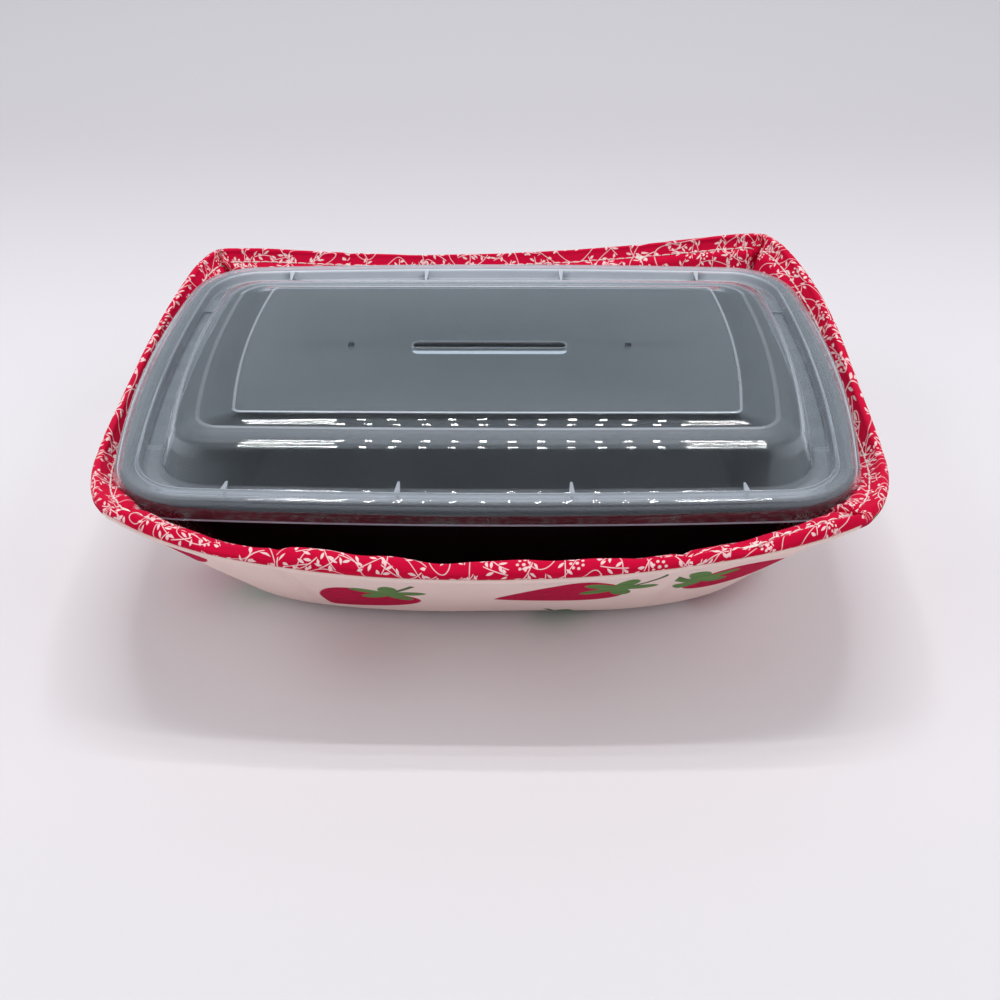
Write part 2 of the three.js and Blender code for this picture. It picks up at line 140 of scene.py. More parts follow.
class Finish:
    """A material and the nodes that make it."""

    def __init__(self, name):
        self.material = bpy.data.materials.new(name)
        self.material.use_nodes = True
        self.tree = self.material.node_tree
        self.tree.nodes.clear()

    def add(self, kind, settings=None, sockets=None):
        """Add a node, set its settings first, then give its sockets their values or links."""
        node = self.tree.nodes.new(kind)
        for name, setting in (settings or {}).items():
            setattr(node, name, setting)
        for name, value in (sockets or {}).items():
            socket = find_socket(node.inputs, name)
            if isinstance(value, Value):
                self.tree.links.new(value.socket, socket)
            else:
                socket.default_value = value
        return Made(self, node)

    def math(self, operation, *values):
        return self.add("ShaderNodeMath", {"operation": operation}, dict(enumerate(values)))["Value"]

    def vector(self, operation, *values):
        made = self.add("ShaderNodeVectorMath", {"operation": operation}, dict(enumerate(values)))
        return made["Vector"]

    def scaled(self, vector, factor):
        sockets = {"Vector": vector, "Scale": factor}
        return self.add("ShaderNodeVectorMath", {"operation": "SCALE"}, sockets)["Vector"]

    def split(self, vector):
        made = self.add("ShaderNodeSeparateXYZ", {}, {"Vector": vector})
        return made["X"], made["Y"], made["Z"]

    def mix(self, factor, first, second):
        """Blend two colours."""
        sockets = {"Factor_Float": factor, "A_Color": first, "B_Color": second}
        return self.add("ShaderNodeMix", {"data_type": "RGBA"}, sockets)["Result_Color"]

    def mix_shaders(self, factor, first, second):
        return self.add("ShaderNodeMixShader", {}, {"Fac": factor, 1: first, 2: second})["Shader"]

    def place(self):
        """Where each point lies in its object, in metres."""
        return self.add("ShaderNodeTexCoord")["Object"]

    def distance(self, across, along):
        """How far a point lies from the centre that both values are counted from."""
        return self.math("SQRT", across * across + along * along)

    def below(self, value, edge, soft):
        """1 where the value is under the edge, 0 above it, with a soft step between."""
        sockets = {"Value": value, "From Min": edge + soft, "From Max": edge - soft}
        return self.add("ShaderNodeMapRange", {"interpolation_type": "SMOOTHSTEP"}, sockets)["Result"]

    def noise(self, place, scale, detail=2.0):
        sockets = {"Vector": place, "Scale": scale, "Detail": detail}
        return self.add("ShaderNodeTexNoise", {}, sockets)["Fac"]

    def either(self, *masks):
        """The stronger of several masks at each point."""
        result = masks[0]
        for mask in masks[1:]:
            result = self.math("MAXIMUM", result, mask)
        return result

    def bump(self, height, distance, strength=1.0):
        sockets = {"Height": height, "Distance": distance, "Strength": strength}
        return self.add("ShaderNodeBump", {}, sockets)["Normal"]

    def surface(self, **sockets):
        """A Principled surface; underscores in the names stand for spaces."""
        named = {name.replace("_", " "): value for name, value in sockets.items()}
        return self.add("ShaderNodeBsdfPrincipled", {}, named)["BSDF"]

    def close(self, shader):
        self.add("ShaderNodeOutputMaterial", {}, {"Surface": shader})
        return self.material


class Room(Finish):
    """The world round the scene, made with the same helpers."""

    def __init__(self, name):
        self.world = bpy.data.worlds.new(name)
        self.world.use_nodes = True
        self.tree = self.world.node_tree
        self.tree.nodes.clear()

    def close(self, shader):
        self.add("ShaderNodeOutputWorld", {}, {"Surface": shader})
        return self.world


def from_screen(red, green, blue):
    """A colour as a screen shows it, 0 to 255, turned into the linear numbers that shaders use."""
    def linear(part):
        part = part / 255
        return part / 12.92 if part <= 0.04045 else ((part + 0.055) / 1.055) ** 2.4
    return (linear(red), linear(green), linear(blue), 1.0)


print("shader helpers ready")

# %% [markdown]
# ## Stage and light
# A pale floor is painted a little darker towards the back, a painted shade that stands for the dimmer light
# there, and far away it fades into the plain pale room that the camera sees. A soft panel behind and a soft
# box on each side light the cloth, and are kept out of the lid's reflections. Two rows of small lamps
# overhead, with tube lamps at both ends, give the bright spots and streaks on the lid's slopes. A clear lid
# mostly shows what it mirrors, so mirrored rays see a room with pale walls and a dim ceiling, while the
# cloth is lit by an even glow.

# %% Stage and light
FLOOR_HALF = 3.0
FLOOR_DROP = 0.0004
FLOOR_GRAIN = 900.0
FLOOR_GRAIN_SHADE = 0.06
FLOOR_TURN = 0.2
FLOOR_TURN_SOFT = 0.2
FLOOR_FADE = 1.3
FLOOR_FADE_SOFT = 0.5
LAMP_ROWS_Y = (0.27, 0.5)
LAMP_COLUMNS = 13
LAMP_SPACING = 0.038
LAMP_HEIGHT = 1.25
LAMP_SIZE = (0.01, 0.03)
LAMP_POWER = 0.17
TUBE_X = (-0.29, 0.29)
TUBE_ROWS_Y = (0.26, 0.36, 0.48)
TUBE_SIZE = (0.12, 0.015)
TUBE_POWER = 0.7
STRAIGHT_DOWN = Vector((0, 0, -1))
PANEL_PLACE = Vector((0, 1.6, 0.82))
PANEL_AIM = Vector((0, 0, 0.05))
PANEL_SIZE = (3.6, 1.5)
PANEL_POWER = 12.0
PANEL_COLOUR = (0.7, 0.84, 1.0)
BOX_PLACES = (Vector((-1.2, -0.3, 0.85)), Vector((1.2, -0.3, 0.85)))
BOX_AIM = Vector((0, 0, 0.03))
BOX_SIZE = (1.5, 1.0)
BOX_POWER = 8.0
ROOM_COLOUR = (1.0, 0.99, 1.0, 1)
ROOM_GLOW = 0.36
ROOM_SEEN = 0.85
WALL_COLOUR = (0.75, 0.88, 1.0, 1)
WALL_FOOT = 0.55
WALL_RISE = 0.42
WALL_RISE_SOFT = 0.13
CEILING_RISE = 0.965
CEILING_SOFT = 0.015
CEILING_DIM = 0.75


def floor_finish():
    finish = Finish("pale_floor")
    place = finish.place()
    across, depth, _ = finish.split(place)
    # The floor is painted darker towards the back: a painted shade for the dimmer light there.
    far_painted_shade = finish.below(depth, FLOOR_TURN, -FLOOR_TURN_SOFT)
    grain = finish.noise(place, FLOOR_GRAIN) * FLOOR_GRAIN_SHADE
    near_colour = finish.mix(grain, from_screen(225, 222, 226), from_screen(215, 212, 216))
    colour = finish.mix(far_painted_shade, near_colour, from_screen(190, 187, 191))
    paper = finish.surface(Base_Color=colour, Roughness=0.9, Specular_IOR_Level=0.05)
    plain = finish.add("ShaderNodeEmission", {}, {"Color": ROOM_COLOUR, "Strength": ROOM_SEEN})["Emission"]
    beyond = finish.below(finish.distance(across, depth), FLOOR_FADE, -FLOOR_FADE_SOFT)
    seen = finish.add("ShaderNodeLightPath")["Is Camera Ray"]
    return finish.close(finish.mix_shaders(beyond * seen, paper, plain))


def add_lamp(name, place, target, size, power, colour=(1.0, 1.0, 1.0)):
    lamp = bpy.data.lights.new(name, "AREA")
    lamp.shape = "RECTANGLE"
    lamp.size, lamp.size_y = size
    lamp.energy = power
    lamp.color = colour
    lamp_object = bpy.data.objects.new(name, lamp)
    bpy.context.collection.objects.link(lamp_object)
    aim = (target - place).to_track_quat("-Z", "Y")
    lamp_object.matrix_world = Matrix.Translation(place) @ aim.to_matrix().to_4x4()
    return lamp_object


bpy.ops.mesh.primitive_plane_add(size=2 * FLOOR_HALF, location=(0, 0, -FLOOR_DROP))
floor = bpy.context.object
floor.name = "floor"
floor.data.materials.append(floor_finish())

for row, y in enumerate(LAMP_ROWS_Y):
    for column in range(LAMP_COLUMNS):
        x = (column - (LAMP_COLUMNS - 1) / 2) * LAMP_SPACING
        spot = Vector((x, y, LAMP_HEIGHT))
        add_lamp(f"lamp_{row}_{column}", spot, spot + STRAIGHT_DOWN, LAMP_SIZE, LAMP_POWER)
for side, x in enumerate(TUBE_X):
    for row, y in enumerate(TUBE_ROWS_Y):
        spot = Vector((x, y, LAMP_HEIGHT))
        add_lamp(f"tube_{side}_{row}", spot, spot + STRAIGHT_DOWN, TUBE_SIZE, TUBE_POWER)
soft_lamps = [add_lamp("soft_panel", PANEL_PLACE, PANEL_AIM, PANEL_SIZE, PANEL_POWER, PANEL_COLOUR)]
for number, place in enumerate(BOX_PLACES):
    soft_lamps.append(add_lamp(f"soft_box_{number}", place, BOX_AIM, BOX_SIZE, BOX_POWER))
for soft_lamp in soft_lamps:
    soft_lamp.visible_glossy = False
    soft_lamp.visible_transmission = False


def soft_room():
    room = Room("soft_room")
    _, _, height = room.split(room.add("ShaderNodeTexCoord")["Generated"])
    rays = room.add("ShaderNodeLightPath")
    mirrored = room.either(rays["Is Glossy Ray"], rays["Is Transmission Ray"])
    wall = room.below(height, WALL_RISE, -WALL_RISE_SOFT) * (1 - WALL_FOOT) + WALL_FOOT
    ceiling = room.below(height, CEILING_RISE, -CEILING_SOFT) * CEILING_DIM
    plain = rays["Is Camera Ray"] * (ROOM_SEEN - ROOM_GLOW) + ROOM_GLOW
    strength = mirrored * wall * (1 - ceiling) + (1 - mirrored) * plain
    colour = room.mix(mirrored, ROOM_COLOUR, WALL_COLOUR)
    sockets = {"Color": colour, "Strength": strength}
    return room.close(room.add("ShaderNodeBackground", {}, sockets)["Background"])


bpy.context.scene.world = soft_room()
print("lamps:", len(bpy.data.lights))

# %% [markdown]
# ## The shape of the sewn shell
# The cozy's outer face is ruled by two closed lines: the foot, where the walls leave the flat base, and
# the rim, which rises to a soft point, an ear, at each corner. Both are smooth curves through a few listed
# points of one quarter, mirrored. A hand sewn piece is never quite even, so the ears and some
# stretches between them are then nudged a little on their own. A cloth simulation could drape the shell
# too, but padded cloth that is sewn in shape keeps it, and two lines are easier to set right.

# %% Outline of the shell
RIM_QUARTER = [
    (0, -94.9, 45.9),
    (30, -94.3, 46.6),
    (55, -92.8, 48.8),
    (76, -90.3, 51.6),
    (93, -85.8, 54.8),
    (103.8, -81.0, 57.2),
    (108.8, -73.0, 55.6),
    (114.0, -55.5, 50.6),
    (116.3, -38, 47.4),
    (117.2, 0, 46.0),
]
FOOT_QUARTER = [
    (0, -54.8, 0),
    (26, -54.3, 0),
    (46, -52.8, 0),
    (59, -50.2, 0),
    (68, -46.4, 0),
    (75, -40.8, 0),
    (80, -34.5, 0),
    (85, -27, 0),
    (88, -19, 0),
    (89.3, 0, 0),
]
QUARTER_KEYS = len(RIM_QUARTER) - 1
LOOP_KEYS = 4 * QUARTER_KEYS
EAR_KEY = 5
EARS = {
    "front_right": EAR_KEY,
    "back_right": 2 * QUARTER_KEYS - EAR_KEY,
    "back_left": 2 * QUARTER_KEYS + EAR_KEY,
    "front_left": 4 * QUARTER_KEYS - EAR_KEY,
}
BACK_MIDDLE = 2 * QUARTER_KEYS
FRONT_RIGHT_STRETCH = 2
RIM_NUDGES = [
    (EARS["front_right"], 2.0, (0, 0, -2.0)),
    (EARS["front_right"], 3.0, (-1.5, 0, 0)),
    (EARS["front_left"], 4.0, (3.2, 0, -0.5)),
    (EARS["back_right"], 7.0, (0, 1.5, 5.5)),
    (EARS["back_right"], 3.0, (-5.5, 0, 0)),
    (EARS["back_left"], 4.0, (2.2, 0, 0)),
    (BACK_MIDDLE, 6.0, (0, 0, 1.4)),
    (FRONT_RIGHT_STRETCH, 3.0, (0, 0, 0.6)),
]
EAR_EASE = 0.2


def mirrored_loop(quarter):
    """One quarter of points, front middle to right middle, mirrored into a loop seen anticlockwise."""
    right = quarter[:-1] + [(x, -y, z) for x, y, z in reversed(quarter[1:])]
    return np.array(right + [(-x, -y, z) for x, y, z in right], float)


def loop_distance(a, b):
    """How far apart two places are in the loop of keys."""
    apart = np.abs(np.asarray(a, float) - b) % LOOP_KEYS
    return np.minimum(apart, LOOP_KEYS - apart)


def smooth_step(value):
    value = np.clip(value, 0, 1)
    return value * value * (3 - 2 * value)


rim_loop = mirrored_loop(RIM_QUARTER)
foot_loop = mirrored_loop(FOOT_QUARTER)
for key, reach, move in RIM_NUDGES:
    weight = smooth_step(1 - loop_distance(np.arange(LOOP_KEYS), key) / reach)
    rim_loop += weight[:, None] * np.array(move, float)
rim_ease = np.ones(LOOP_KEYS)
rim_ease[list(EARS.values())] = EAR_EASE
print("rim keys:", len(rim_loop), "foot keys:", len(foot_loop))

# %% [markdown]
# Each column of the shell runs from the flat base round a bend and up the wall. The wall swells outward
# a little, most of all high under the ears, where the batting is bunched. Every layer is then the same
# face moved inward by its own depth, less so near the rim, where the layers are pressed flat by the seam.

# %% Columns of the shell
FOOT_BEND = 9.0
SWELL_HEIGHT = 0.85
SIDE_SWELL = 1.5
EAR_SWELL = {"front_right": -1.5, "back_right": 8.0, "back_left": 6.0, "front_left": 0.5}
EAR_REACH = 4.0
BASE_RINGS = 8
BASE_FIRST_RING = 0.1
BEND_ROWS = 6
WALL_ROWS = 30
RIM_CROWDING = 1.6
THICKNESS = 6.0
THIN_EDGE = 3.0
FRONT_EDGE = 5.6
FRONT_EDGE_REACH = 6.0
FLAT_STRETCH_REACH = 2.0
FLAT_STRETCH = 1.8
EDGE_TAPER = 8.0
ROLL_HEIGHT = 0.4
ROLL_SQUARENESS = 0.8


def unit(vectors):
    return vectors / np.linalg.norm(vectors, axis=-1, keepdims=True)


def loop_curve(keys, places, ease):
    """A smooth closed curve through the keys, read at places counted in keys.

    A low ease turns a key into a corner."""
    start = np.floor(places).astype(int)
    ease_here, ease_next = (ease[(start + step) % len(keys)][:, None] for step in (0, 1))
    part = (places - start)[:, None]
    p0, p1, p2, p3 = (keys[(start + step) % len(keys)] for step in (-1, 0, 1, 2))
    pairs = ((p0, p1), (p1, p2), (p2, p3))
    d0, d1, d2 = (np.sqrt(np.linalg.norm(b - a, axis=1))[:, None] for a, b in pairs)
    leave = ease_here * d1 * ((p1 - p0) / d0 - (p2 - p0) / (d0 + d1) + (p2 - p1) / d1)
    arrive = ease_next * d1 * ((p2 - p1) / d1 - (p3 - p1) / (d1 + d2) + (p3 - p2) / d2)
    cubic = 2 * p1 - 2 * p2 + leave + arrive
    square = -3 * p1 + 3 * p2 - 2 * leave - arrive
    return ((cubic * part + square) * part + leave) * part + p1


def bow(a, corner, b, s):
    """The point at fraction s of the bow from a to b that leans towards the corner."""
    return a * (1 - s) ** 2 + corner * 2 * s * (1 - s) + b * s * s


def swell_at(places):
    """How far the wall swells outward, in millimetres."""
    swell = np.full(len(places), SIDE_SWELL)
    for ear, key in EARS.items():
        near_ear = smooth_step(1 - loop_distance(places, key) / EAR_REACH)
        swell += (EAR_SWELL[ear] - SIDE_SWELL) * near_ear
    return swell


def outer_face(places):
    """The shell's outer face as columns, rows and coordinates, from the base's middle to the rim."""
    rim = loop_curve(rim_loop, places, rim_ease)
    foot = loop_curve(foot_loop, places, np.ones(LOOP_KEYS))
    out = unit((rim - foot) * (1, 1, 0))
    chord = rim - foot
    belly = foot + SWELL_HEIGHT * chord
    chord = unit(chord)
    lean = np.sum(chord * out, axis=1, keepdims=True)
    outward = out * chord[:, 2:3] - lean * (0, 0, 1)
    belly = belly + outward * swell_at(places)[:, None]
    base = foot - FOOT_BEND * out
    wall_foot = foot + FOOT_BEND * unit(belly - foot)
    rows = [base * share for share in np.linspace(BASE_FIRST_RING, 1, BASE_RINGS, endpoint=False)]
    rows += [bow(base, foot, wall_foot, s) for s in np.linspace(0, 1, BEND_ROWS, endpoint=False)]
    climb = 1 - (1 - np.linspace(0, 1, WALL_ROWS + 1)) ** RIM_CROWDING
    rows += [bow(wall_foot, belly, rim, s) for s in climb]
    return np.stack(rows, axis=1)


def directions(face):
    """The way round, the way inward and the way up the wall at every point of a face."""
    round_way = unit(np.roll(face, -1, 0) - np.roll(face, 1, 0))
    rise = np.gradient(face, axis=1)
    rise[:, :BASE_RINGS, 2] = 0
    inward = -unit(np.cross(round_way, rise))
    upward = -unit(np.cross(inward, round_way))
    return round_way, inward, upward


def climb_of(face):
    """How far up each column a point lies, in millimetres, from where the base starts to bend."""
    steps = np.linalg.norm(np.diff(face, axis=1), axis=2)
    climb = np.concatenate([np.zeros((len(face), 1)), np.cumsum(steps, axis=1)], axis=1)
    return climb - climb[:, BASE_RINGS:BASE_RINGS + 1]


def front_share(places):
    """1 in the middle of the front, fading to 0 towards the sides."""
    return smooth_step(1 - loop_distance(places, 0) / FRONT_EDGE_REACH)


def padding(places, face):
    """The share of the full thickness at every point: the rim is thin, but plump along most of the front."""
    flat = smooth_step(1 - loop_distance(places, FRONT_RIGHT_STRETCH) / FLAT_STRETCH_REACH)
    edge = (THIN_EDGE + (FRONT_EDGE - THIN_EDGE) * front_share(places) - FLAT_STRETCH * flat) / THICKNESS
    climb = climb_of(face)
    from_rim = climb[:, -1:] - climb
    return edge[:, None] + (1 - edge[:, None]) * smooth_step(from_rim / EDGE_TAPER)


def turned_over(face, inward, upward, thickness, angles):
    """Rows of a flattened roll over the rim, from the inside at angle 0 to the outside at half a turn."""
    rim, deeper, higher = face[:, -1], inward[:, -1], upward[:, -1]
    rows = []
    for angle in angles:
        across = math.copysign(abs(math.cos(angle)) ** ROLL_SQUARENESS, math.cos(angle))
        up = max(math.sin(angle), 0.0) ** ROLL_SQUARENESS
        move = deeper * (1 + across) / 2 + higher * up * ROLL_HEIGHT
        rows.append(rim + move * thickness[:, None])
    return np.stack(rows, axis=1)


COLUMNS_PER_KEY = 16
fine_places = np.arange(LOOP_KEYS * COLUMNS_PER_KEY) / COLUMNS_PER_KEY
shell = outer_face(fine_places)
shell_round, shell_inward, shell_upward = directions(shell)
shell_padding = padding(fine_places, shell)
rim_length = np.sum(np.linalg.norm(np.roll(shell[:, -1], -1, 0) - shell[:, -1], axis=1))
print("columns:", len(shell), "rows:", shell.shape[1], "rim length in mm:", round(float(rim_length)))

# %% [markdown]
# ## How the cloth lies on the panel
# Each panel was cut flat and its wedge shaped darts sewn shut, so the print runs straight on from the
# base into each wall and breaks off at every dart. A second set of coordinates keeps where each point lay
# on the flat panel, and the printed patterns are drawn in those coordinates.

# %% Flat coordinates of the panels
DART_KEYS = (2, 8, 10, 16, 20, 26, 28, 34)
FLAT_FAN = 0.67


def panel_sections():
    """The section of wall, between two darts, that each column starts."""
    cuts = np.array(DART_KEYS) * COLUMNS_PER_KEY
    columns = np.arange(len(fine_places))
    return np.searchsorted(cuts, columns, side="right") % len(cuts)


def flat_places(face):
    """Where each point lay on the flat panel, for each section of wall between two darts."""
    climb = climb_of(face)
    heading = np.unwrap(np.arctan2(-shell_inward[:, -1, 1], -shell_inward[:, -1, 0]))
    base = face[:, BASE_RINGS, :2]
    flats = []
    for section in range(len(DART_KEYS)):
        last = DART_KEYS[section]
        first = DART_KEYS[section - 1] - (LOOP_KEYS if section == 0 else 0)
        middle_place = (first + last) / 2 * COLUMNS_PER_KEY
        turns = np.round((middle_place - np.arange(len(face))) / len(face))
        own_heading = heading + turns * 2 * math.pi
        middle = np.interp(middle_place % len(face), np.arange(len(face)), heading)
        middle += 2 * math.pi * math.floor(middle_place / len(face))
        fanned = middle + FLAT_FAN * (own_heading - middle)
        way = np.stack([np.cos(fanned), np.sin(fanned)], axis=1)
        flat = base[:, None, :] + way[:, None, :] * climb[:, :, None]
        flat[:, :BASE_RINGS] = face[:, :BASE_RINGS, :2]
        flats.append(flat)
    return flats


sections = panel_sections()
print("wall sections:", len(DART_KEYS))

# %% [markdown]
# ## From rows of points to a mesh
# A face of columns and rows becomes a mesh of quads with a fan in the middle of the base. The flat
# coordinates go into a UV map named cloth. Solidify then gives the cloth its thickness.

# %% Mesh makers
def finished(name, mesh, material):
    """A new object at the origin with one material and smooth faces."""
    mesh.materials.clear()
    mesh.materials.append(material)
    mesh.shade_smooth()
    piece = bpy.data.objects.new(name, mesh)
    bpy.context.collection.objects.link(piece)
    return piece


def applied(piece):
    """Turn a piece's modifiers into plain mesh."""
    depsgraph = bpy.context.evaluated_depsgraph_get()
    mesh = bpy.data.meshes.new_from_object(piece.evaluated_get(depsgraph))
    piece.modifiers.clear()
    piece.data = mesh
    return piece


def new_mesh(name, points, faces, edges=()):
    """A mesh from points in millimetres."""
    mesh = bpy.data.meshes.new(name)
    mesh.from_pydata([tuple(p) for p in np.asarray(points, float) * MM], edges, faces)
    return mesh


def face_mesh(name, face, inside_up):
    """Quads between neighbouring columns and rows, facing up into the cozy or down out of it."""
    columns, rows = face.shape[:2]
    points = np.concatenate([face.reshape(-1, 3), [(0, 0, face[0, 0, 2])]])
    centre = len(points) - 1
    quads = []
    for c in range(columns):
        n = (c + 1) % columns
        quads.append((centre, c * rows, n * rows))
        for r in range(rows - 1):
            quads.append((c * rows + r, c * rows + r + 1, n * rows + r + 1, n * rows + r))
    if not inside_up:
        quads = [tuple(reversed(q)) for q in quads]
    return new_mesh(name, points, quads)


def lay_cloth(mesh, face, flats):
    """Write the flat coordinates, in metres, into the UV map named cloth."""
    columns, rows = face.shape[:2]
    centre = columns * rows
    layer = mesh.uv_layers.new(name="cloth")
    for polygon in mesh.polygons:
        corners = [mesh.loops[k].vertex_index for k in polygon.loop_indices]
        own = [v // rows for v in corners if v != centre]
        # A face between the last column and the first one belongs to the last.
        column = max(own) if max(own) - min(own) > 1 else min(own)
        flat = flats[sections[column]]
        for k, v in zip(polygon.loop_indices, corners):
            place = (0.0, 0.0) if v == centre else flat[v // rows, v % rows] * MM
            layer.data[k].uv = place


def thickened(piece, thickness, offset):
    """Give a face of cloth its thickness, in millimetres."""
    solid = piece.modifiers.new("thickness", "SOLIDIFY")
    solid.thickness = thickness * MM
    solid.offset = offset
    solid.use_even_offset = False
    return applied(piece)


print("mesh makers ready")

# %% [markdown]
# ## Soft relief
# Batting makes the cloth uneven. Slow swells stand for lumps in the batting, short ripples run across
# the topstitching where the cloth is gathered by the thread, longer gathers run along the front rim, and
# a narrow valley follows each dart seam and the topstitching itself. All of it is a small move along each
# point's own normal, so that it shows in the mesh and not only in the shading.

# %% Soft relief
SWELL_LENGTH = 34.0
RIPPLE_LENGTH = 8.5
RIPPLE_SPREAD = 7.0
RIPPLE_STRETCH = 4
DART_VALLEY_WIDTH = 1.6
DART_VALLEY_FADE = (12.0, 34.0)
STITCH_VALLEY_WIDTH = 1.3


def face_normals(face):
    """Unit normals of a face, to the side that looks up into the cozy."""
    round_way = np.roll(face, -1, 0) - np.roll(face, 1, 0)
    rise = np.gradient(face, axis=1)
    return -unit(np.cross(round_way, rise))


def smooth_noise(points, length):
    """Even noise from about -1 to 1 at points in millimetres."""
    flat = points.reshape(-1, 3) / length
    values = [noise.noise(Vector(p)) for p in flat]
    return np.array(values).reshape(points.shape[:2])


def valley_along(face, keys, width):
    """1 down the wall at each of the keys, fading out to its sides and towards the foot."""
    climb = climb_of(face)
    start, full = DART_VALLEY_FADE
    up = smooth_step((climb - start) / (full - start))
    steps = np.linalg.norm(np.roll(face, -1, 0) - face, axis=2)
    along = np.concatenate([np.zeros((1, face.shape[1])), np.cumsum(steps, axis=0)[:-1]], axis=0)
    around = along[-1] + steps[-1]
    valley = np.zeros(face.shape[:2])
    for key in keys:
        apart = np.abs(along - along[key * COLUMNS_PER_KEY])
        apart = np.minimum(apart, around - apart)
        valley = np.maximum(valley, np.exp(-(apart / width) ** 2))
    return valley * up


def ripples(from_line, length, seed):
    """Ripples that run across a line round the rim and die away to both sides."""
    travel = np.linspace(0, rim_length, len(fine_places), endpoint=False)
    turn = travel / rim_length * 2 * math.pi
    radius = rim_length / (2 * math.pi)
    circle = np.stack([np.cos(turn), np.sin(turn)], axis=1) * radius
    values = np.zeros(from_line.shape)
    for column, (x, y) in enumerate(circle):
        for row, away in enumerate(from_line[column]):
            spot = Vector((x / length, y / length, seed + away / (RIPPLE_STRETCH * length)))
            values[column, row] = noise.noise(spot)
    return values * np.exp(-(from_line / RIPPLE_SPREAD) ** 2)


print("relief helpers ready")

# %% [markdown]
# ## Calico lining finish
# The lining is a red calico, sprigged all over in white: thin curling vines, leafy sprigs and round
# flowers made of dots. A print like this could be an image, but a formula stays sharp at any distance, so
# each motif is drawn by one, round scattered centres and in millimetres of cloth.

# %% Calico finish
VINE_LOOP = 19.0
VINE_LEVELS = 6.0
VINE_WIDTH = 0.11
VINE_SOFT = 0.1
VINE_STEP = 0.4
VINE_LEAST_SLOPE = 0.004
SPRIG_CELL = 10.0
SPRIG_IRREGULAR = 0.8
SPRIG_SHIFTS = ((0, 0, 0), (331, 127, 0), (157, 409, 0))
SPRIG_HALF = 3.4
SPRIG_BEND = 0.08
STEM_HALF = 0.13
STEM_SOFT = 0.08
STEM_END_SOFT = 0.2
LEAF_PITCH = 2.0
LEAF_LEAN = 1.05
LEAF_LONG = 1.08
LEAF_WIDE = 0.39
LEAF_SOFT = 0.16
LEAF_END_SOFT = 0.1
FLOWER_CELL = 19.0
FLOWER_IRREGULAR = 0.7
FLOWER_SHIFT = (71, 533, 0)
FLOWER_RING = 1.6
FLOWER_DOTS = 7
FLOWER_EYE = 0.45
DOT_RADIUS = 0.38
DOT_SOFT = 0.12
THREAD_PITCH = 0.42
WEAVE_RISE = 0.00008
WEAVE_STRENGTH = 0.5
WEAVE_SHADE = 0.2
PATCH_SCALE = 0.05
PRINT_COVER = 0.95
LEAF_SLANT = math.sqrt(0.5)


def cloth_place(finish):
    """The flat coordinates of the cloth, in millimetres."""
    return finish.scaled(finish.add("ShaderNodeUVMap", {"uv_map": "cloth"})["UV"], MM_PER_METRE)


def scattered(finish, place, cell, shift, irregular):
    """Offsets from the nearest of many scattered centres, each turned at random, and its own chances."""
    moved = finish.vector("ADD", place, shift)
    sockets = {"Vector": moved, "Scale": 1 / cell, "Randomness": irregular}
    centres = finish.add("ShaderNodeTexVoronoi", {"voronoi_dimensions": "2D"}, sockets)
    offset = finish.vector("SUBTRACT", moved, centres["Position"])
    chance = finish.add("ShaderNodeSeparateColor", {}, {"Color": centres["Color"]})
    sockets = {"Vector": offset, "Angle": chance["Red"] * (2 * math.pi)}
    turned = finish.add("ShaderNodeVectorRotate", {"rotation_type": "Z_AXIS"}, sockets)["Vector"]
    x, y, _ = finish.split(turned)
    return x, y, chance


def vine_mask(finish, place):
    """Thin lines of even width along the level lines of a slow noise."""
    here = finish.noise(place, 1 / VINE_LOOP, 0.0)
    beside = finish.noise(finish.vector("ADD", place, (VINE_STEP, 0, 0)), 1 / VINE_LOOP, 0.0)
    above = finish.noise(finish.vector("ADD", place, (0, VINE_STEP, 0)), 1 / VINE_LOOP, 0.0)
    slope = finish.distance(beside - here, above - here) / VINE_STEP
    level = (here * VINE_LEVELS) % 1.0
    from_line = abs(level - 0.5) / (slope * VINE_LEVELS + VINE_LEAST_SLOPE)
    return finish.below(from_line, VINE_WIDTH, VINE_SOFT)


def sprig_mask(finish, place, shift):
    """A bowed stem with leaves to the left and right in turn."""
    x, y, chance = scattered(finish, place, SPRIG_CELL, shift, SPRIG_IRREGULAR)
    bend = chance["Green"] * (2 * SPRIG_BEND) - SPRIG_BEND
    y = y - bend * x * x
    stem = finish.below(abs(y), STEM_HALF, STEM_SOFT) * finish.below(abs(x), SPRIG_HALF, STEM_END_SOFT)
    count = finish.math("FLOOR", x / LEAF_PITCH)
    side = 1 - 2 * (count % 2.0)
    along = x - (count + 0.5) * LEAF_PITCH
    across = y * side - LEAF_LEAN
    lengthwise = (along + across) * LEAF_SLANT
    sideways = (across - along) * LEAF_SLANT
    leaf = finish.below(abs(sideways) / LEAF_WIDE + (lengthwise / LEAF_LONG) ** 2.0, 1.0, LEAF_SOFT)
    leaf = leaf * finish.below(abs(x), SPRIG_HALF, LEAF_END_SOFT)
    return finish.either(stem, leaf)


def flower_mask(finish, place, shift):
    """A dot with a ring of smaller dots round it."""
    x, y, _ = scattered(finish, place, FLOWER_CELL, shift, FLOWER_IRREGULAR)
    radius = finish.distance(x, y)
    turn = finish.math("ARCTAN2", y, x) * (FLOWER_DOTS / (2 * math.pi))
    sideways = (turn % 1.0 - 0.5) * radius * (2 * math.pi / FLOWER_DOTS)
    dot = finish.below(finish.distance(radius - FLOWER_RING, sideways), DOT_RADIUS, DOT_SOFT)
    return finish.either(dot, finish.below(radius, FLOWER_EYE, DOT_SOFT))


def weave_height(finish, place):
    """The over and under of a plain weave, from 0 to 1."""
    x, y, _ = finish.split(place)
    warp = finish.math("SINE", x * (math.pi / THREAD_PITCH))
    weft = finish.math("SINE", y * (math.pi / THREAD_PITCH))
    return warp * weft * 0.5 + 0.5


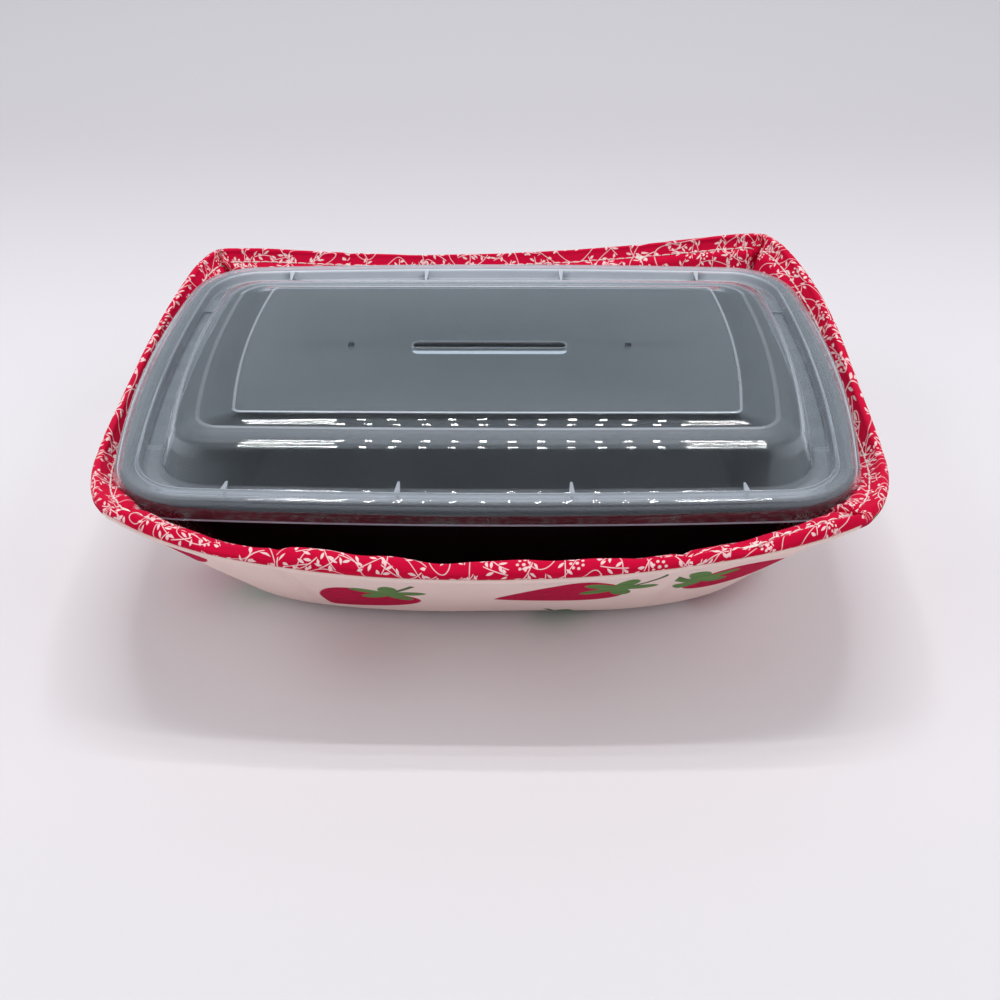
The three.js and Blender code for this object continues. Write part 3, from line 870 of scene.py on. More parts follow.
def woven(finish, colour, weave):
    """Close a finish as dull cotton whose weave stands up a little."""
    normal = finish.bump(weave, WEAVE_RISE, WEAVE_STRENGTH)
    cotton = finish.surface(Base_Color=colour, Roughness=0.9, Normal=normal, Specular_IOR_Level=0.15)
    return finish.close(cotton)


def calico_finish():
    finish = Finish("red_calico")
    place = cloth_place(finish)
    weave = weave_height(finish, place)
    sprigs = [sprig_mask(finish, place, shift) for shift in SPRIG_SHIFTS]
    flowers = flower_mask(finish, place, FLOWER_SHIFT)
    print_mask = finish.either(vine_mask(finish, place), *sprigs, flowers)
    patchy = finish.noise(place, PATCH_SCALE)
    red = finish.mix(patchy, from_screen(218, 4, 60), from_screen(198, 0, 52))
    red = finish.mix(weave * WEAVE_SHADE, red, from_screen(140, 0, 32))
    white = finish.mix(patchy, from_screen(250, 226, 226), from_screen(240, 200, 204))
    return woven(finish, finish.mix(print_mask * PRINT_COVER, red, white), weave)


calico = calico_finish()
print("calico nodes:", len(calico.node_tree.nodes))

# %% [markdown]
# ## Printed outer finish
# The outside is a cream cotton with red berries strewn over it, each with a leafy green cap and a
# bent stem. It is drawn as the calico is: a berry is a width that swells and tapers along its axis, its
# seeds are specks, and the cap is a star.

# %% Printed cotton finish
BERRY_CELL = 56.0
BERRY_IRREGULAR = 0.3
BERRY_SHIFT = (214, 96, 0)
BERRY_LONG = 36.0
BERRY_HALF_WIDE = 14.0
BERRY_TAPER = 0.55
BERRY_BLUNTNESS = 0.75
BERRY_TRIM = 0.3
BERRY_SOFT = 0.35
CAP_INSET = 1.5
CAP_RADIUS = 4.2
CAP_POINTS = 6.5
CAP_POINT_COUNT = 5
CAP_SHARPNESS = 1.6
CAP_TWIST = 3.0
CAP_SOFT = 0.4
BERRY_STEM_HALF_LONG = 7.5
BERRY_STEM_HALF_WIDE = 0.75
BERRY_STEM_SOFT = 0.25
BERRY_STEM_END_SOFT = 0.3
BERRY_STEM_BEND = 0.03
SEED_CELL = 3.6
SEED_IRREGULAR = 0.6
SEED_RADIUS = 0.13
SEED_SOFT = 0.05
SEED_SHADE = 0.5
STREAK_STRETCH = (0.09, 0.5, 1.0)
STREAK_DETAIL = 4.0


def berry_masks(finish, place, shift):
    """Masks for the fruit, its seeds, its cap and its stem."""
    x, y, chance = scattered(finish, place, BERRY_CELL, shift, BERRY_IRREGULAR)
    sockets = {"Value": x, "From Min": -BERRY_LONG / 2, "From Max": BERRY_LONG / 2}
    along = finish.add("ShaderNodeMapRange", {}, sockets)["Result"]
    swell = finish.math("SINE", along ** BERRY_TAPER * math.pi) ** BERRY_BLUNTNESS
    fruit = finish.below(abs(y) - swell * BERRY_HALF_WIDE, -BERRY_TRIM, BERRY_SOFT)
    from_cap = x + (BERRY_LONG / 2 - CAP_INSET)
    turn = finish.math("ARCTAN2", y, from_cap) * (CAP_POINT_COUNT / 2)
    star = abs(finish.math("COSINE", turn + chance["Green"] * CAP_TWIST)) ** CAP_SHARPNESS
    cap = finish.below(finish.distance(from_cap, y) - star * CAP_POINTS, CAP_RADIUS, CAP_SOFT)
    stem_bend = chance["Blue"] * (2 * BERRY_STEM_BEND) - BERRY_STEM_BEND
    stem_side = abs(y + from_cap * from_cap * stem_bend)
    stem_end = abs(from_cap + BERRY_STEM_HALF_LONG)
    stem = finish.below(stem_side, BERRY_STEM_HALF_WIDE, BERRY_STEM_SOFT)
    stem = stem * finish.below(stem_end, BERRY_STEM_HALF_LONG, BERRY_STEM_END_SOFT)
    sockets = {"Vector": place, "Scale": 1 / SEED_CELL, "Randomness": SEED_IRREGULAR}
    speck = finish.add("ShaderNodeTexVoronoi", {"voronoi_dimensions": "2D"}, sockets)["Distance"]
    seeds = finish.below(speck, SEED_RADIUS, SEED_SOFT)
    return fruit, seeds, cap, stem


def printed_finish():
    finish = Finish("cream_print")
    place = cloth_place(finish)
    weave = weave_height(finish, place)
    patchy = finish.noise(place, PATCH_SCALE)
    fruit, seeds, cap, stem = berry_masks(finish, place, BERRY_SHIFT)
    streaks = finish.noise(finish.vector("MULTIPLY", place, STREAK_STRETCH), 1.0, STREAK_DETAIL)
    cream = finish.mix(patchy, from_screen(248, 226, 220), from_screen(240, 214, 208))
    cream = finish.mix(weave * WEAVE_SHADE, cream, from_screen(216, 186, 180))
    red = finish.mix(streaks, from_screen(208, 0, 72), from_screen(160, 0, 50))
    red = finish.mix(seeds * SEED_SHADE, red, from_screen(110, 4, 38))
    green = finish.mix(streaks, from_screen(122, 160, 92), from_screen(62, 96, 52))
    colour = finish.mix(fruit, cream, red)
    colour = finish.mix(stem, colour, from_screen(92, 104, 66))
    return woven(finish, finish.mix(cap, colour, green), weave)


printed_cotton = printed_finish()
print("printed cotton nodes:", len(printed_cotton.node_tree.nodes))

# %% [markdown]
# ## Lining
# The lining covers the inside, rolls over the padded rim and tucks into the seam on the outside. Its
# relief is gathered by the topstitching, so the rim is slightly scalloped, most of all along the front.

# %% Lining piece
ROLL_STEPS = 14
ROLL_ANGLES = np.linspace(0, math.pi, ROLL_STEPS + 1)[1:]
STITCH_DROP = 3.6
CLOTH_THICKNESS = 0.45
LINING_SWELL = 0.35
LINING_SWELL_REACH = 14.0
LINING_RIPPLE = 1.0
RIPPLE_SEED = 3.0
GATHER_LENGTH = 14.0
GATHER_SEED = 11.0
FRONT_GATHER = 3.2
SEAM_FADE = 3.0
LINING_VALLEY = 0.7
SIDE_RIPPLE_SHARE = 0.35
EAR_FOLD = 0.9
EAR_FOLD_WIDTH = 2.4
STITCH_VALLEY = 0.6

lining_rows = shell + shell_inward * (THICKNESS * shell_padding)[:, :, None]
edge_thickness = THICKNESS * shell_padding[:, -1]
roll = turned_over(shell, shell_inward, shell_upward, edge_thickness, ROLL_ANGLES)
lining_face = np.concatenate([lining_rows, roll], axis=1)
lining_climb = climb_of(lining_face)
rim_row = shell.shape[1] - 1
stitch_climb = lining_climb[:, rim_row] - STITCH_DROP
from_stitch = lining_climb - stitch_climb[:, None]
normals = face_normals(lining_face)
near_rim = smooth_step(1 + from_stitch / LINING_SWELL_REACH)
seam_fade = smooth_step((lining_climb[:, -1:] - lining_climb) / SEAM_FADE)
relief = LINING_SWELL * smooth_noise(lining_face, SWELL_LENGTH) * near_rim
ripple_share = SIDE_RIPPLE_SHARE + (1 - SIDE_RIPPLE_SHARE) * front_share(fine_places)
relief += LINING_RIPPLE * ripples(from_stitch, RIPPLE_LENGTH, RIPPLE_SEED) * ripple_share[:, None]
gathers = ripples(from_stitch - STITCH_DROP, GATHER_LENGTH, GATHER_SEED)
relief += FRONT_GATHER * gathers * front_share(fine_places)[:, None]
relief -= LINING_VALLEY * valley_along(lining_face, DART_KEYS, DART_VALLEY_WIDTH)
relief -= EAR_FOLD * valley_along(lining_face, EARS.values(), EAR_FOLD_WIDTH)
relief -= STITCH_VALLEY * np.exp(-(from_stitch / STITCH_VALLEY_WIDTH) ** 2)
lining_face = lining_face + normals * (relief * seam_fade)[:, :, None]

lining_mesh = face_mesh("lining", lining_face, inside_up=True)
lay_cloth(lining_mesh, lining_face, flat_places(lining_face))
lining = thickened(finished("lining", lining_mesh, calico), CLOTH_THICKNESS, -1)
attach(lining, "cozy")
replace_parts(lining, "lining_fabric")
print("lining faces:", len(lining.data.polygons))

# %% [markdown]
# ## Outer fabric
# The printed cotton covers the outside. Just below the seam, where it turns in to meet the lining, it
# stands out in a small lip that catches the light as a thin bright line.

# %% Outer fabric piece
SEAM_LIP = 0.8
SEAM_LIP_REACH = 1.0
OUTER_SWELL = 0.5
OUTER_SWELL_FOOT_FADE = 20.0
OUTER_SWELL_RIM_FADE = 4.0
OUTER_VALLEY = 0.7
OUTER_VALLEY_RIM_FADE = 3.0
OUTER_STITCH_VALLEY = 0.2
OUTER_STITCH_DROP = 5.0

outer = shell.copy()
above_base = climb_of(outer)
below_rim = above_base[:, -1:] - above_base
lip = below_rim / SEAM_LIP_REACH
relief = SEAM_LIP * lip * np.exp(1 - lip)
lift = smooth_step(above_base / OUTER_SWELL_FOOT_FADE) * smooth_step(below_rim / OUTER_SWELL_RIM_FADE)
relief += OUTER_SWELL * smooth_noise(outer, SWELL_LENGTH) * lift
valleys = valley_along(outer, DART_KEYS, DART_VALLEY_WIDTH)
relief -= OUTER_VALLEY * valleys * smooth_step(below_rim / OUTER_VALLEY_RIM_FADE)
relief -= OUTER_STITCH_VALLEY * np.exp(-((below_rim - OUTER_STITCH_DROP) / STITCH_VALLEY_WIDTH) ** 2)
outer = outer - shell_inward * relief[:, :, None]

outer_mesh = face_mesh("outer", outer, inside_up=False)
lay_cloth(outer_mesh, outer, flat_places(outer))
outer_cloth = thickened(finished("outer_cloth", outer_mesh, printed_cotton), CLOTH_THICKNESS, -1)
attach(outer_cloth, "cozy")
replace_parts(outer_cloth, "outer_fabric")
print("outer cloth faces:", len(outer_cloth.data.polygons))

# %% [markdown]
# ## Batting
# Two layers of cotton batting fill the shell. They are closed pads that follow the same shape, a little
# inside the cloth on both sides, and show only where the shell is opened up. A simulation could puff them
# up, but nothing of them is seen, so the shell's own face, moved inward, is enough.

# %% Batting pieces
BATTING_COLUMNS_PER_KEY = 6
BATTING_TRIM_ROWS = 9
OUTER_BATTING_DEPTHS = (0.9, 2.7)
LINING_BATTING_DEPTHS = (2.9, 4.5)
TUFT_SCALE = 700.0
TUFT_DETAIL = 4.0
TUFT_RISE = 0.0006


def batting_finish():
    finish = Finish("white_batting")
    place = finish.place()
    tufts = finish.noise(place, TUFT_SCALE, TUFT_DETAIL)
    colour = finish.mix(tufts, from_screen(244, 241, 233), from_screen(222, 217, 204))
    normal = finish.bump(tufts, TUFT_RISE)
    return finish.close(finish.surface(Base_Color=colour, Roughness=1.0, Normal=normal))


def batting_pad(name, depths, material):
    """A closed pad between two depths of the shell."""
    places = np.arange(LOOP_KEYS * BATTING_COLUMNS_PER_KEY) / BATTING_COLUMNS_PER_KEY
    face = outer_face(places)
    _, inward, _ = directions(face)
    share = padding(places, face)[:, :, None]
    lower, upper = ((face + inward * depth * share)[:, :-BATTING_TRIM_ROWS] for depth in depths)
    mesh = face_mesh(name, np.concatenate([lower, upper[:, ::-1]], axis=1), inside_up=False)
    shell_mesh = bmesh.new()
    shell_mesh.from_mesh(mesh)
    edges = [edge for edge in shell_mesh.edges if edge.is_boundary]
    bmesh.ops.holes_fill(shell_mesh, edges=edges, sides=0)
    bmesh.ops.recalc_face_normals(shell_mesh, faces=shell_mesh.faces)
    shell_mesh.to_mesh(mesh)
    shell_mesh.free()
    pad = finished(name, mesh, material)
    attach(pad, "cozy")
    return pad


batting = batting_finish()
outer_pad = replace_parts(batting_pad("outer_pad", OUTER_BATTING_DEPTHS, batting), "outer_batting")
lining_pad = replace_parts(batting_pad("lining_pad", LINING_BATTING_DEPTHS, batting), "lining_batting")
print("batting faces:", len(outer_pad.data.polygons) + len(lining_pad.data.polygons))

# %% [markdown]
# ## Stitches
# A row of stitches is one short bead of thread repeated along a line. A Geometry Nodes tree takes the
# line, spaces points along it, turns each bead along the line and up from the cloth, and realizes the
# copies. One tree serves every row, with its sizes as inputs, so no stitch has to be placed by hand.

# %% Stitch tree
BEAD_STEPS = 5
THREAD_SIDES = 6


def stitch_tree():
    """The tree that lays one row of stitches along a line."""
    tree = bpy.data.node_groups.new("stitch_row", "GeometryNodeTree")
    sockets = tree.interface
    sockets.new_socket("Line", in_out="INPUT", socket_type="NodeSocketGeometry")
    for name in ("Stitch Pitch", "Stitch Length", "Stitch Rise", "Thread Radius"):
        sockets.new_socket(name, in_out="INPUT", socket_type="NodeSocketFloat")
    sockets.new_socket("Thread", in_out="INPUT", socket_type="NodeSocketMaterial")
    sockets.new_socket("Stitches", in_out="OUTPUT", socket_type="NodeSocketGeometry")

    def add(kind, links, **settings):
        node = tree.nodes.new(kind)
        for name, setting in settings.items():
            setattr(node, name, setting)
        for name, value in links.items():
            if isinstance(value, bpy.types.NodeSocket):
                tree.links.new(value, node.inputs[name])
            else:
                node.inputs[name].default_value = value
        return node

    given = add("NodeGroupInput", {}).outputs
    line = add("GeometryNodeMeshToCurve", {"Mesh": given["Line"]})
    spaced = add("GeometryNodeResampleCurve", {"Curve": line.outputs[0], "Length": given["Stitch Pitch"]},
                 mode="LENGTH")
    up = add("GeometryNodeInputNamedAttribute", {"Name": "cloth_up"}, data_type="FLOAT_VECTOR")
    along = add("GeometryNodeInputTangent", {})
    stand = add("FunctionNodeAlignRotationToVector", {"Vector": up.outputs["Attribute"]}, axis="Z")
    turn = add("FunctionNodeAlignRotationToVector",
               {"Rotation": stand.outputs[0], "Vector": along.outputs[0]}, axis="X", pivot_axis="Z")
    half = add("ShaderNodeMath", {0: given["Stitch Length"], 1: 0.5}, operation="MULTIPLY").outputs[0]
    back = add("ShaderNodeMath", {0: half, 1: -1.0}, operation="MULTIPLY").outputs[0]
    sunk = add("ShaderNodeMath", {0: given["Thread Radius"], 1: -1.0}, operation="MULTIPLY").outputs[0]
    first = add("ShaderNodeCombineXYZ", {"X": back, "Z": sunk}).outputs[0]
    top = add("ShaderNodeCombineXYZ", {"Z": given["Stitch Rise"]}).outputs[0]
    last = add("ShaderNodeCombineXYZ", {"X": half, "Z": sunk}).outputs[0]
    arch = add("GeometryNodeCurveQuadraticBezier",
               {"Resolution": BEAD_STEPS, "Start": first, "Middle": top, "End": last})
    round_thread = add("GeometryNodeCurvePrimitiveCircle",
                       {"Resolution": THREAD_SIDES, "Radius": given["Thread Radius"]})
    bead = add("GeometryNodeCurveToMesh",
               {"Curve": arch.outputs[0], "Profile Curve": round_thread.outputs[0], "Fill Caps": True})
    copies = add("GeometryNodeInstanceOnPoints",
                 {"Points": spaced.outputs[0], "Instance": bead.outputs[0], "Rotation": turn.outputs[0]})
    real = add("GeometryNodeRealizeInstances", {"Geometry": copies.outputs[0]})
    dyed = add("GeometryNodeSetMaterial", {"Geometry": real.outputs[0], "Material": given["Thread"]})
    add("NodeGroupOutput", {"Stitches": dyed.outputs[0]})
    return tree


def line_mesh(name, lines):
    """Edges along lines; a line is its points, the way up from the cloth at each, and if it is closed."""
    points, ups, edges = [], [], []
    for line, up, closed in lines:
        first = len(points)
        points += list(line)
        ups += list(up)
        edges += [(k, k + 1) for k in range(first, len(points) - 1)]
        if closed:
            edges.append((len(points) - 1, first))
    mesh = new_mesh(name, points, [], edges)
    attribute = mesh.attributes.new("cloth_up", "FLOAT_VECTOR", "POINT")
    attribute.data.foreach_set("vector", np.array(ups, float).ravel())
    return mesh


def stitch_row(name, lines, sizes, thread):
    """A piece of stitches along the lines; sizes are named in millimetres."""
    row = bpy.data.objects.new(name, line_mesh(name, lines))
    bpy.context.collection.objects.link(row)
    nodes = row.modifiers.new("stitches", "NODES")
    nodes.node_group = stitches
    for item in stitches.interface.items_tree:
        if item.name in sizes:
            nodes[item.identifier] = sizes[item.name] * MM
        if item.name == "Thread":
            nodes[item.identifier] = thread
    applied(row)
    row.data.shade_smooth()
    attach(row, "cozy")
    return row


stitches = stitch_tree()
print("stitch tree nodes:", len(stitches.nodes))

# %% [markdown]
# The thread is white cotton. The topstitching shows on the lining, as the needle thread, and on the
# outside, as the bobbin thread. The seam in the rim and the dart seams lie hidden between the two cloths.

# %% Stitch rows
TOPSTITCH = {"Stitch Pitch": 3.4, "Stitch Length": 2.9, "Stitch Rise": 0.55, "Thread Radius": 0.24}
BOBBIN_STITCH = {"Stitch Pitch": 3.4, "Stitch Length": 2.9, "Stitch Rise": 0.25, "Thread Radius": 0.15}
SEAM_STITCH = {"Stitch Pitch": 2.6, "Stitch Length": 2.3, "Stitch Rise": 0.2, "Thread Radius": 0.18}
NEEDLE_LIFT = 0.05
LEAST_STEP = 1e-9
SEAM_ROW = -4
DART_SPREAD = 1.0
DART_TOP_DROP = 4.0
DART_PLACES = (
    "front_right", "right_front", "right_back", "back_right",
    "back_left", "left_back", "left_front", "front_left",
)
FIBRE_SCALE = 2500.0
FIBRE_DETAIL = 3.0
FIBRE_RISE = 0.0001


def thread_finish():
    finish = Finish("white_thread")
    place = finish.place()
    fibres = finish.noise(place, FIBRE_SCALE, FIBRE_DETAIL)
    colour = finish.mix(fibres, from_screen(248, 238, 234), from_screen(226, 208, 206))
    normal = finish.bump(fibres, FIBRE_RISE)
    return finish.close(finish.surface(Base_Color=colour, Roughness=0.7, Normal=normal))


def line_on(face, ups, row_values, target):
    """The points where each column of a face reaches a target value of something that grows along it."""
    points, way = [], []
    for column in range(len(face)):
        goal = target[column]
        after = int(np.clip(np.searchsorted(row_values[column], goal), 1, face.shape[1] - 1))
        low, high = row_values[column, after - 1], row_values[column, after]
        share = (goal - low) / max(high - low, LEAST_STEP)
        points.append(face[column, after - 1] * (1 - share) + face[column, after] * share)
        way.append(ups[column, after])
    return np.array(points), np.array(way)


def dart_lines(spread):
    """Lines down the wall along each dart, halfway between the two cloths."""
    lines = []
    for key in DART_KEYS:
        column = key * COLUMNS_PER_KEY
        first = BASE_RINGS + BEND_ROWS
        line = middle_layer[column, first:] + shell_round[column, first:] * spread
        reach = below_rim[column, first:] > DART_TOP_DROP
        lines.append((line[reach], -shell_inward[column, first:][reach], False))
    return lines


thread = thread_finish()
middle_layer = shell + shell_inward * (THICKNESS / 2 * shell_padding)[:, :, None]
lining_ups = face_normals(lining_face)
needle_line, needle_up = line_on(lining_face, lining_ups, lining_climb, stitch_climb)
needle_loop = (needle_line + needle_up * NEEDLE_LIFT, needle_up, True)
needle = stitch_row("needle_stitches", [needle_loop], TOPSTITCH, thread)
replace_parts(needle, "topstitch_needle_thread")
outer_climb = climb_of(outer)
bobbin_climb = outer_climb[:, -1] - OUTER_STITCH_DROP
bobbin_line, bobbin_up = line_on(outer, -shell_inward, outer_climb, bobbin_climb)
bobbin = stitch_row("bobbin_stitches", [(bobbin_line, bobbin_up, True)], BOBBIN_STITCH, thread)
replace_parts(bobbin, "topstitch_bobbin_thread")
seam_line = middle_layer[:, SEAM_ROW]
seam = stitch_row("seam_stitches", [(seam_line, shell_upward[:, SEAM_ROW], True)], SEAM_STITCH, thread)
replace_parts(seam, "rim_seam_thread")
for panel, spread in (("outer", -DART_SPREAD), ("lining", DART_SPREAD)):
    darts = stitch_row(f"{panel}_dart_stitches", dart_lines(spread), SEAM_STITCH, thread)
    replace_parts(darts, *[f"{panel}_dart_thread_{place}" for place in DART_PLACES])
print("stitch faces:", len(needle.data.polygons) + len(bobbin.data.polygons) + len(seam.data.polygons))

# %% [markdown]
# ## Moulded shapes
# The tray and the lid are thin plastic, formed over a mould: rounded oblongs whose sides and ends bow
# outward. A list of outlines up the wall gives the shape, each with its half sizes, corner radius, bows
# and height, and the size of the bend there. Clear plastic turns milky where it is stretched, so a row may
# also say how milky the bend is, along the sides and at the ends, and then the same for the wall after it;
# on the lid these values also set painted highlight lines along the bends.
# Between outlines the wall is straight, and every bend is rounded, because plastic can't be pulled over a
# sharp edge. A bevelled box could stand in for such a shape, but its sides would not bow.

# %% Moulded shapes
SIDE_STEPS = 12
CORNER_STEPS = 14
END_STEPS = 9
BEND_STEPS = 6
BEND_SHARE = 0.4
BEND_GUARD = 0.05
CORNER_ROUNDS = 8
ROW_LENGTH = 11
DEPTH_AND_HEIGHT = [1, 5]
BEND_SIZE = 6
BEND_MILKY_AND_HIGHLIGHT = slice(7, 9)
WALL_MILKY_AND_HIGHLIGHT = slice(9, 11)
SAMPLE_ROW = (100, 70, 20, 5, 3, 0)


def bowed_ring(row):
    """A rounded oblong with bowed sides and ends, anticlockwise seen from above."""
    half_x, half_y, radius, end_bow, side_bow, z = row[:BEND_SIZE]

    def side_at(x):
        return half_y - radius - side_bow * (x / half_x) ** 2

    def end_at(y):
        return half_x - radius - end_bow * (y / half_y) ** 2

    corner_x = half_x - radius - end_bow
    corner_y = half_y - radius - side_bow
    for _ in range(CORNER_ROUNDS):
        corner_x = end_at(corner_y)
        corner_y = side_at(corner_x)
    side_lean = math.atan(2 * side_bow * corner_x / half_x ** 2)
    end_lean = math.atan(2 * end_bow * corner_y / half_y ** 2)
    quarter = []
    for x in np.linspace(0, corner_x, SIDE_STEPS, endpoint=False):
        lean = math.atan(2 * side_bow * x / half_x ** 2)
        quarter.append((x + radius * math.sin(lean), side_at(x) + radius * math.cos(lean)))
    for angle in np.linspace(side_lean, math.pi / 2 - end_lean, CORNER_STEPS + 1):
        quarter.append((corner_x + radius * math.sin(angle), corner_y + radius * math.cos(angle)))
    for y in np.linspace(corner_y, 0, END_STEPS + 1)[1:]:
        lean = math.atan(2 * end_bow * y / half_y ** 2)
        quarter.append((end_at(y) + radius * math.cos(lean), y + radius * math.sin(lean)))
    front_right = [(x, -y) for x, y in quarter]
    back_right = list(reversed(quarter[:-1]))
    right = front_right + back_right
    left = [(-x, -y) for x, y in right[1:-1]]
    return np.array([(x, y, z) for x, y in right + left])


def rounded_rows(rows):
    """Outlines with each bend of the wall rounded: a short bow takes the place of the bend.

    A guard outline on each side of the bow keeps the straight wall beyond it flat."""
    rows = np.array([row + (0,) * (ROW_LENGTH - len(row)) for row in rows], float)
    result = [rows[0]]
    for before, bend, after in zip(rows[:-2], rows[1:-1], rows[2:]):
        walls = [np.linalg.norm((row - bend)[DEPTH_AND_HEIGHT]) for row in (before, after)]
        start, end = (min(BEND_SHARE, bend[BEND_SIZE] / wall) for wall in walls)
        first, last = bend + (before - bend) * start, bend + (after - bend) * end
        bows = [bow(first, bend, last, s) for s in np.linspace(0, 1, BEND_STEPS)]
        bows.insert(0, bend + (before - bend) * (start + BEND_GUARD))
        bows.append(bend + (after - bend) * (end + BEND_GUARD))
        for row in bows[:2]:
            row[BEND_MILKY_AND_HIGHLIGHT] = before[WALL_MILKY_AND_HIGHLIGHT]
        for row in bows[2:-2]:
            row[BEND_MILKY_AND_HIGHLIGHT] = bend[BEND_MILKY_AND_HIGHLIGHT]
        for row in bows[-2:]:
            row[BEND_MILKY_AND_HIGHLIGHT] = bend[WALL_MILKY_AND_HIGHLIGHT]
        result += bows
    result.append(rows[-1])
    return result


def ring_mesh(name, rings, first_centre, last_centre):
    """Skin a list of rings and close both ends with a fan."""
    count = len(rings[0])
    points = np.concatenate([*rings, [(0, 0, first_centre), (0, 0, last_centre)]])
    first, last = len(points) - 2, len(points) - 1
    top = (len(rings) - 1) * count
    faces = []
    for k in range(count):
        n = (k + 1) % count
        faces.append((first, n, k))
        faces.append((last, top + k, top + n))
        for r in range(0, top, count):
            faces.append((r + k, r + n, r + count + n, r + count + k))
    return new_mesh(name, points, faces)


print("ring points:", len(bowed_ring(SAMPLE_ROW)))

# %% [markdown]
# ## Tray
# The tray is black polypropylene with a fine moulded grain and a soft gloss. It stands on a rounded foot,
# its corners tighten as the walls rise, and its rim steps out into a raised bead for the lid to clip on.
# One skin runs from under the base, over the rim and down to the inside of the base.

# %% Tray piece
TRAY_OUTSIDE = [
    (77.0, 44.0, 29.0, 1.0, 0.6, 6.2, 0.6),
    (81.0, 47.8, 30.0, 1.2, 0.8, 7.6, 1.5),
    (84.0, 50.8, 30.5, 1.4, 1.0, 11.0, 1.5),
    (85.8, 52.8, 30.0, 1.6, 1.2, 14.5, 1.5),
    (103.2, 66.8, 18.0, 4.2, 3.0, 50.7, 0.6),
    (109.1, 74.6, 22.8, 9.1, 3.9, 51.0, 0.4),
    (109.1, 74.6, 22.8, 9.1, 3.9, 52.0, 0.4),
    (107.3, 73.0, 20.4, 7.9, 3.7, 54.2, 0.6),
]
TRAY_INSIDE = [
    (105.2, 71.2, 16.8, 5.7, 3.4, 54.2, 0.6),
    (104.7, 70.6, 16.5, 5.4, 3.3, 51.6, 0.6),
    (102.5, 65.8, 17.2, 4.2, 3.0, 51.4, 0.6),
    (84.8, 51.8, 29.2, 1.6, 1.2, 15.0, 1.5),
    (83.0, 49.8, 29.6, 1.4, 1.0, 11.6, 1.5),
    (80.2, 47.0, 29.2, 1.2, 0.8, 8.5, 1.5),
    (76.6, 43.6, 28.6, 1.0, 0.6, 7.3, 0.6),
]
TRAY_BASE_UNDER = 6.2
TRAY_BASE_INSIDE = 7.3
CREASE_ANGLE = math.radians(38)
GRAIN_SCALE = 1600.0
GRAIN_DETAIL = 3.0
GRAIN_RISE = 0.00004
GRAIN_STRENGTH = 0.6
GRAIN_DULLS = 0.12
TRAY_ROUGHNESS = 0.45
TRAY_CLOUDS = 60.0


def black_plastic_finish():
    finish = Finish("black_plastic")
    place = finish.place()
    grain = finish.noise(place, GRAIN_SCALE, GRAIN_DETAIL)
    cloud = finish.noise(place, TRAY_CLOUDS)
    colour = finish.mix(cloud, from_screen(18, 19, 22), from_screen(10, 11, 13))
    roughness = grain * GRAIN_DULLS + TRAY_ROUGHNESS
    normal = finish.bump(grain, GRAIN_RISE, GRAIN_STRENGTH)
    plastic = finish.surface(Base_Color=colour, Roughness=roughness, Normal=normal, Specular_IOR_Level=0.25)
    return finish.close(plastic)


def creased(piece):
    """Smooth shading that keeps real edges sharp."""
    piece.data.shade_smooth()
    piece.data.set_sharp_from_angle(angle=CREASE_ANGLE)
    return piece


tray_rings = [bowed_ring(row) for row in rounded_rows(TRAY_OUTSIDE + TRAY_INSIDE)]
tray_mesh = ring_mesh("tray", tray_rings, TRAY_BASE_UNDER, TRAY_BASE_INSIDE)
tray = creased(finished("tray", tray_mesh, black_plastic_finish()))
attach(tray, "tray")
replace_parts(tray, "meal_tray")
print("tray faces:", len(tray.data.polygons))

# %% [markdown]
# ## Lid shell
# The lid has a raised top with a shoulder round it, a channel, and a rim that clips down over the tray.
# A long recess is sunk in each end channel and a grip slot in the middle, two small nubs stand on the
# top, and small webs brace the rim at the front and back. The shell comes from outlines, and Boolean
# modifiers add and cut the rest, which keeps the lid in one piece.

# %% Lid piece
LID_UNDER = [
    (71.7, 35.7, 1.6, 2.6, 0.4, 62.7, 0.6),
    (75.7, 39.7, 1.8, 3.0, 0.4, 62.7, 0.6),
    (79.4, 41.5, 3.6, 3.2, 0.6, 61.8, 3.0),
    (83.0, 43.5, 5.6, 3.4, 1.0, 61.1, 3.0),
    (86.7, 45.4, 6.8, 3.5, 1.2, 60.6, 0.6),
    (88.2, 46.9, 8.8, 4.0, 1.2, 60.3, 0.6),
    (91.2, 50.2, 10.2, 4.6, 1.2, 59.7, 3.6),
    (94.0, 53.9, 11.6, 5.0, 1.2, 58.35, 3.6),
    (96.2, 65.2, 15.5, 6.5, 2.5, 52.2, 1.0),
    (101.7, 68.6, 16.8, 5.0, 3.0, 52.1, 0.6),
    (102.9, 69.8, 17.6, 5.4, 3.3, 54.9, 0.6),
    (106.5, 72.4, 18.7, 7.0, 3.6, 55.1, 0.6),
    (108.8, 74.4, 21.8, 8.7, 3.9, 54.3, 1.0),
    (109.6, 75.2, 23.1, 9.3, 4.0, 53.0, 1.0),
    (110.2, 75.7, 23.8, 9.3, 4.0, 49.7, 0.4, 1.0, 0.6),
]
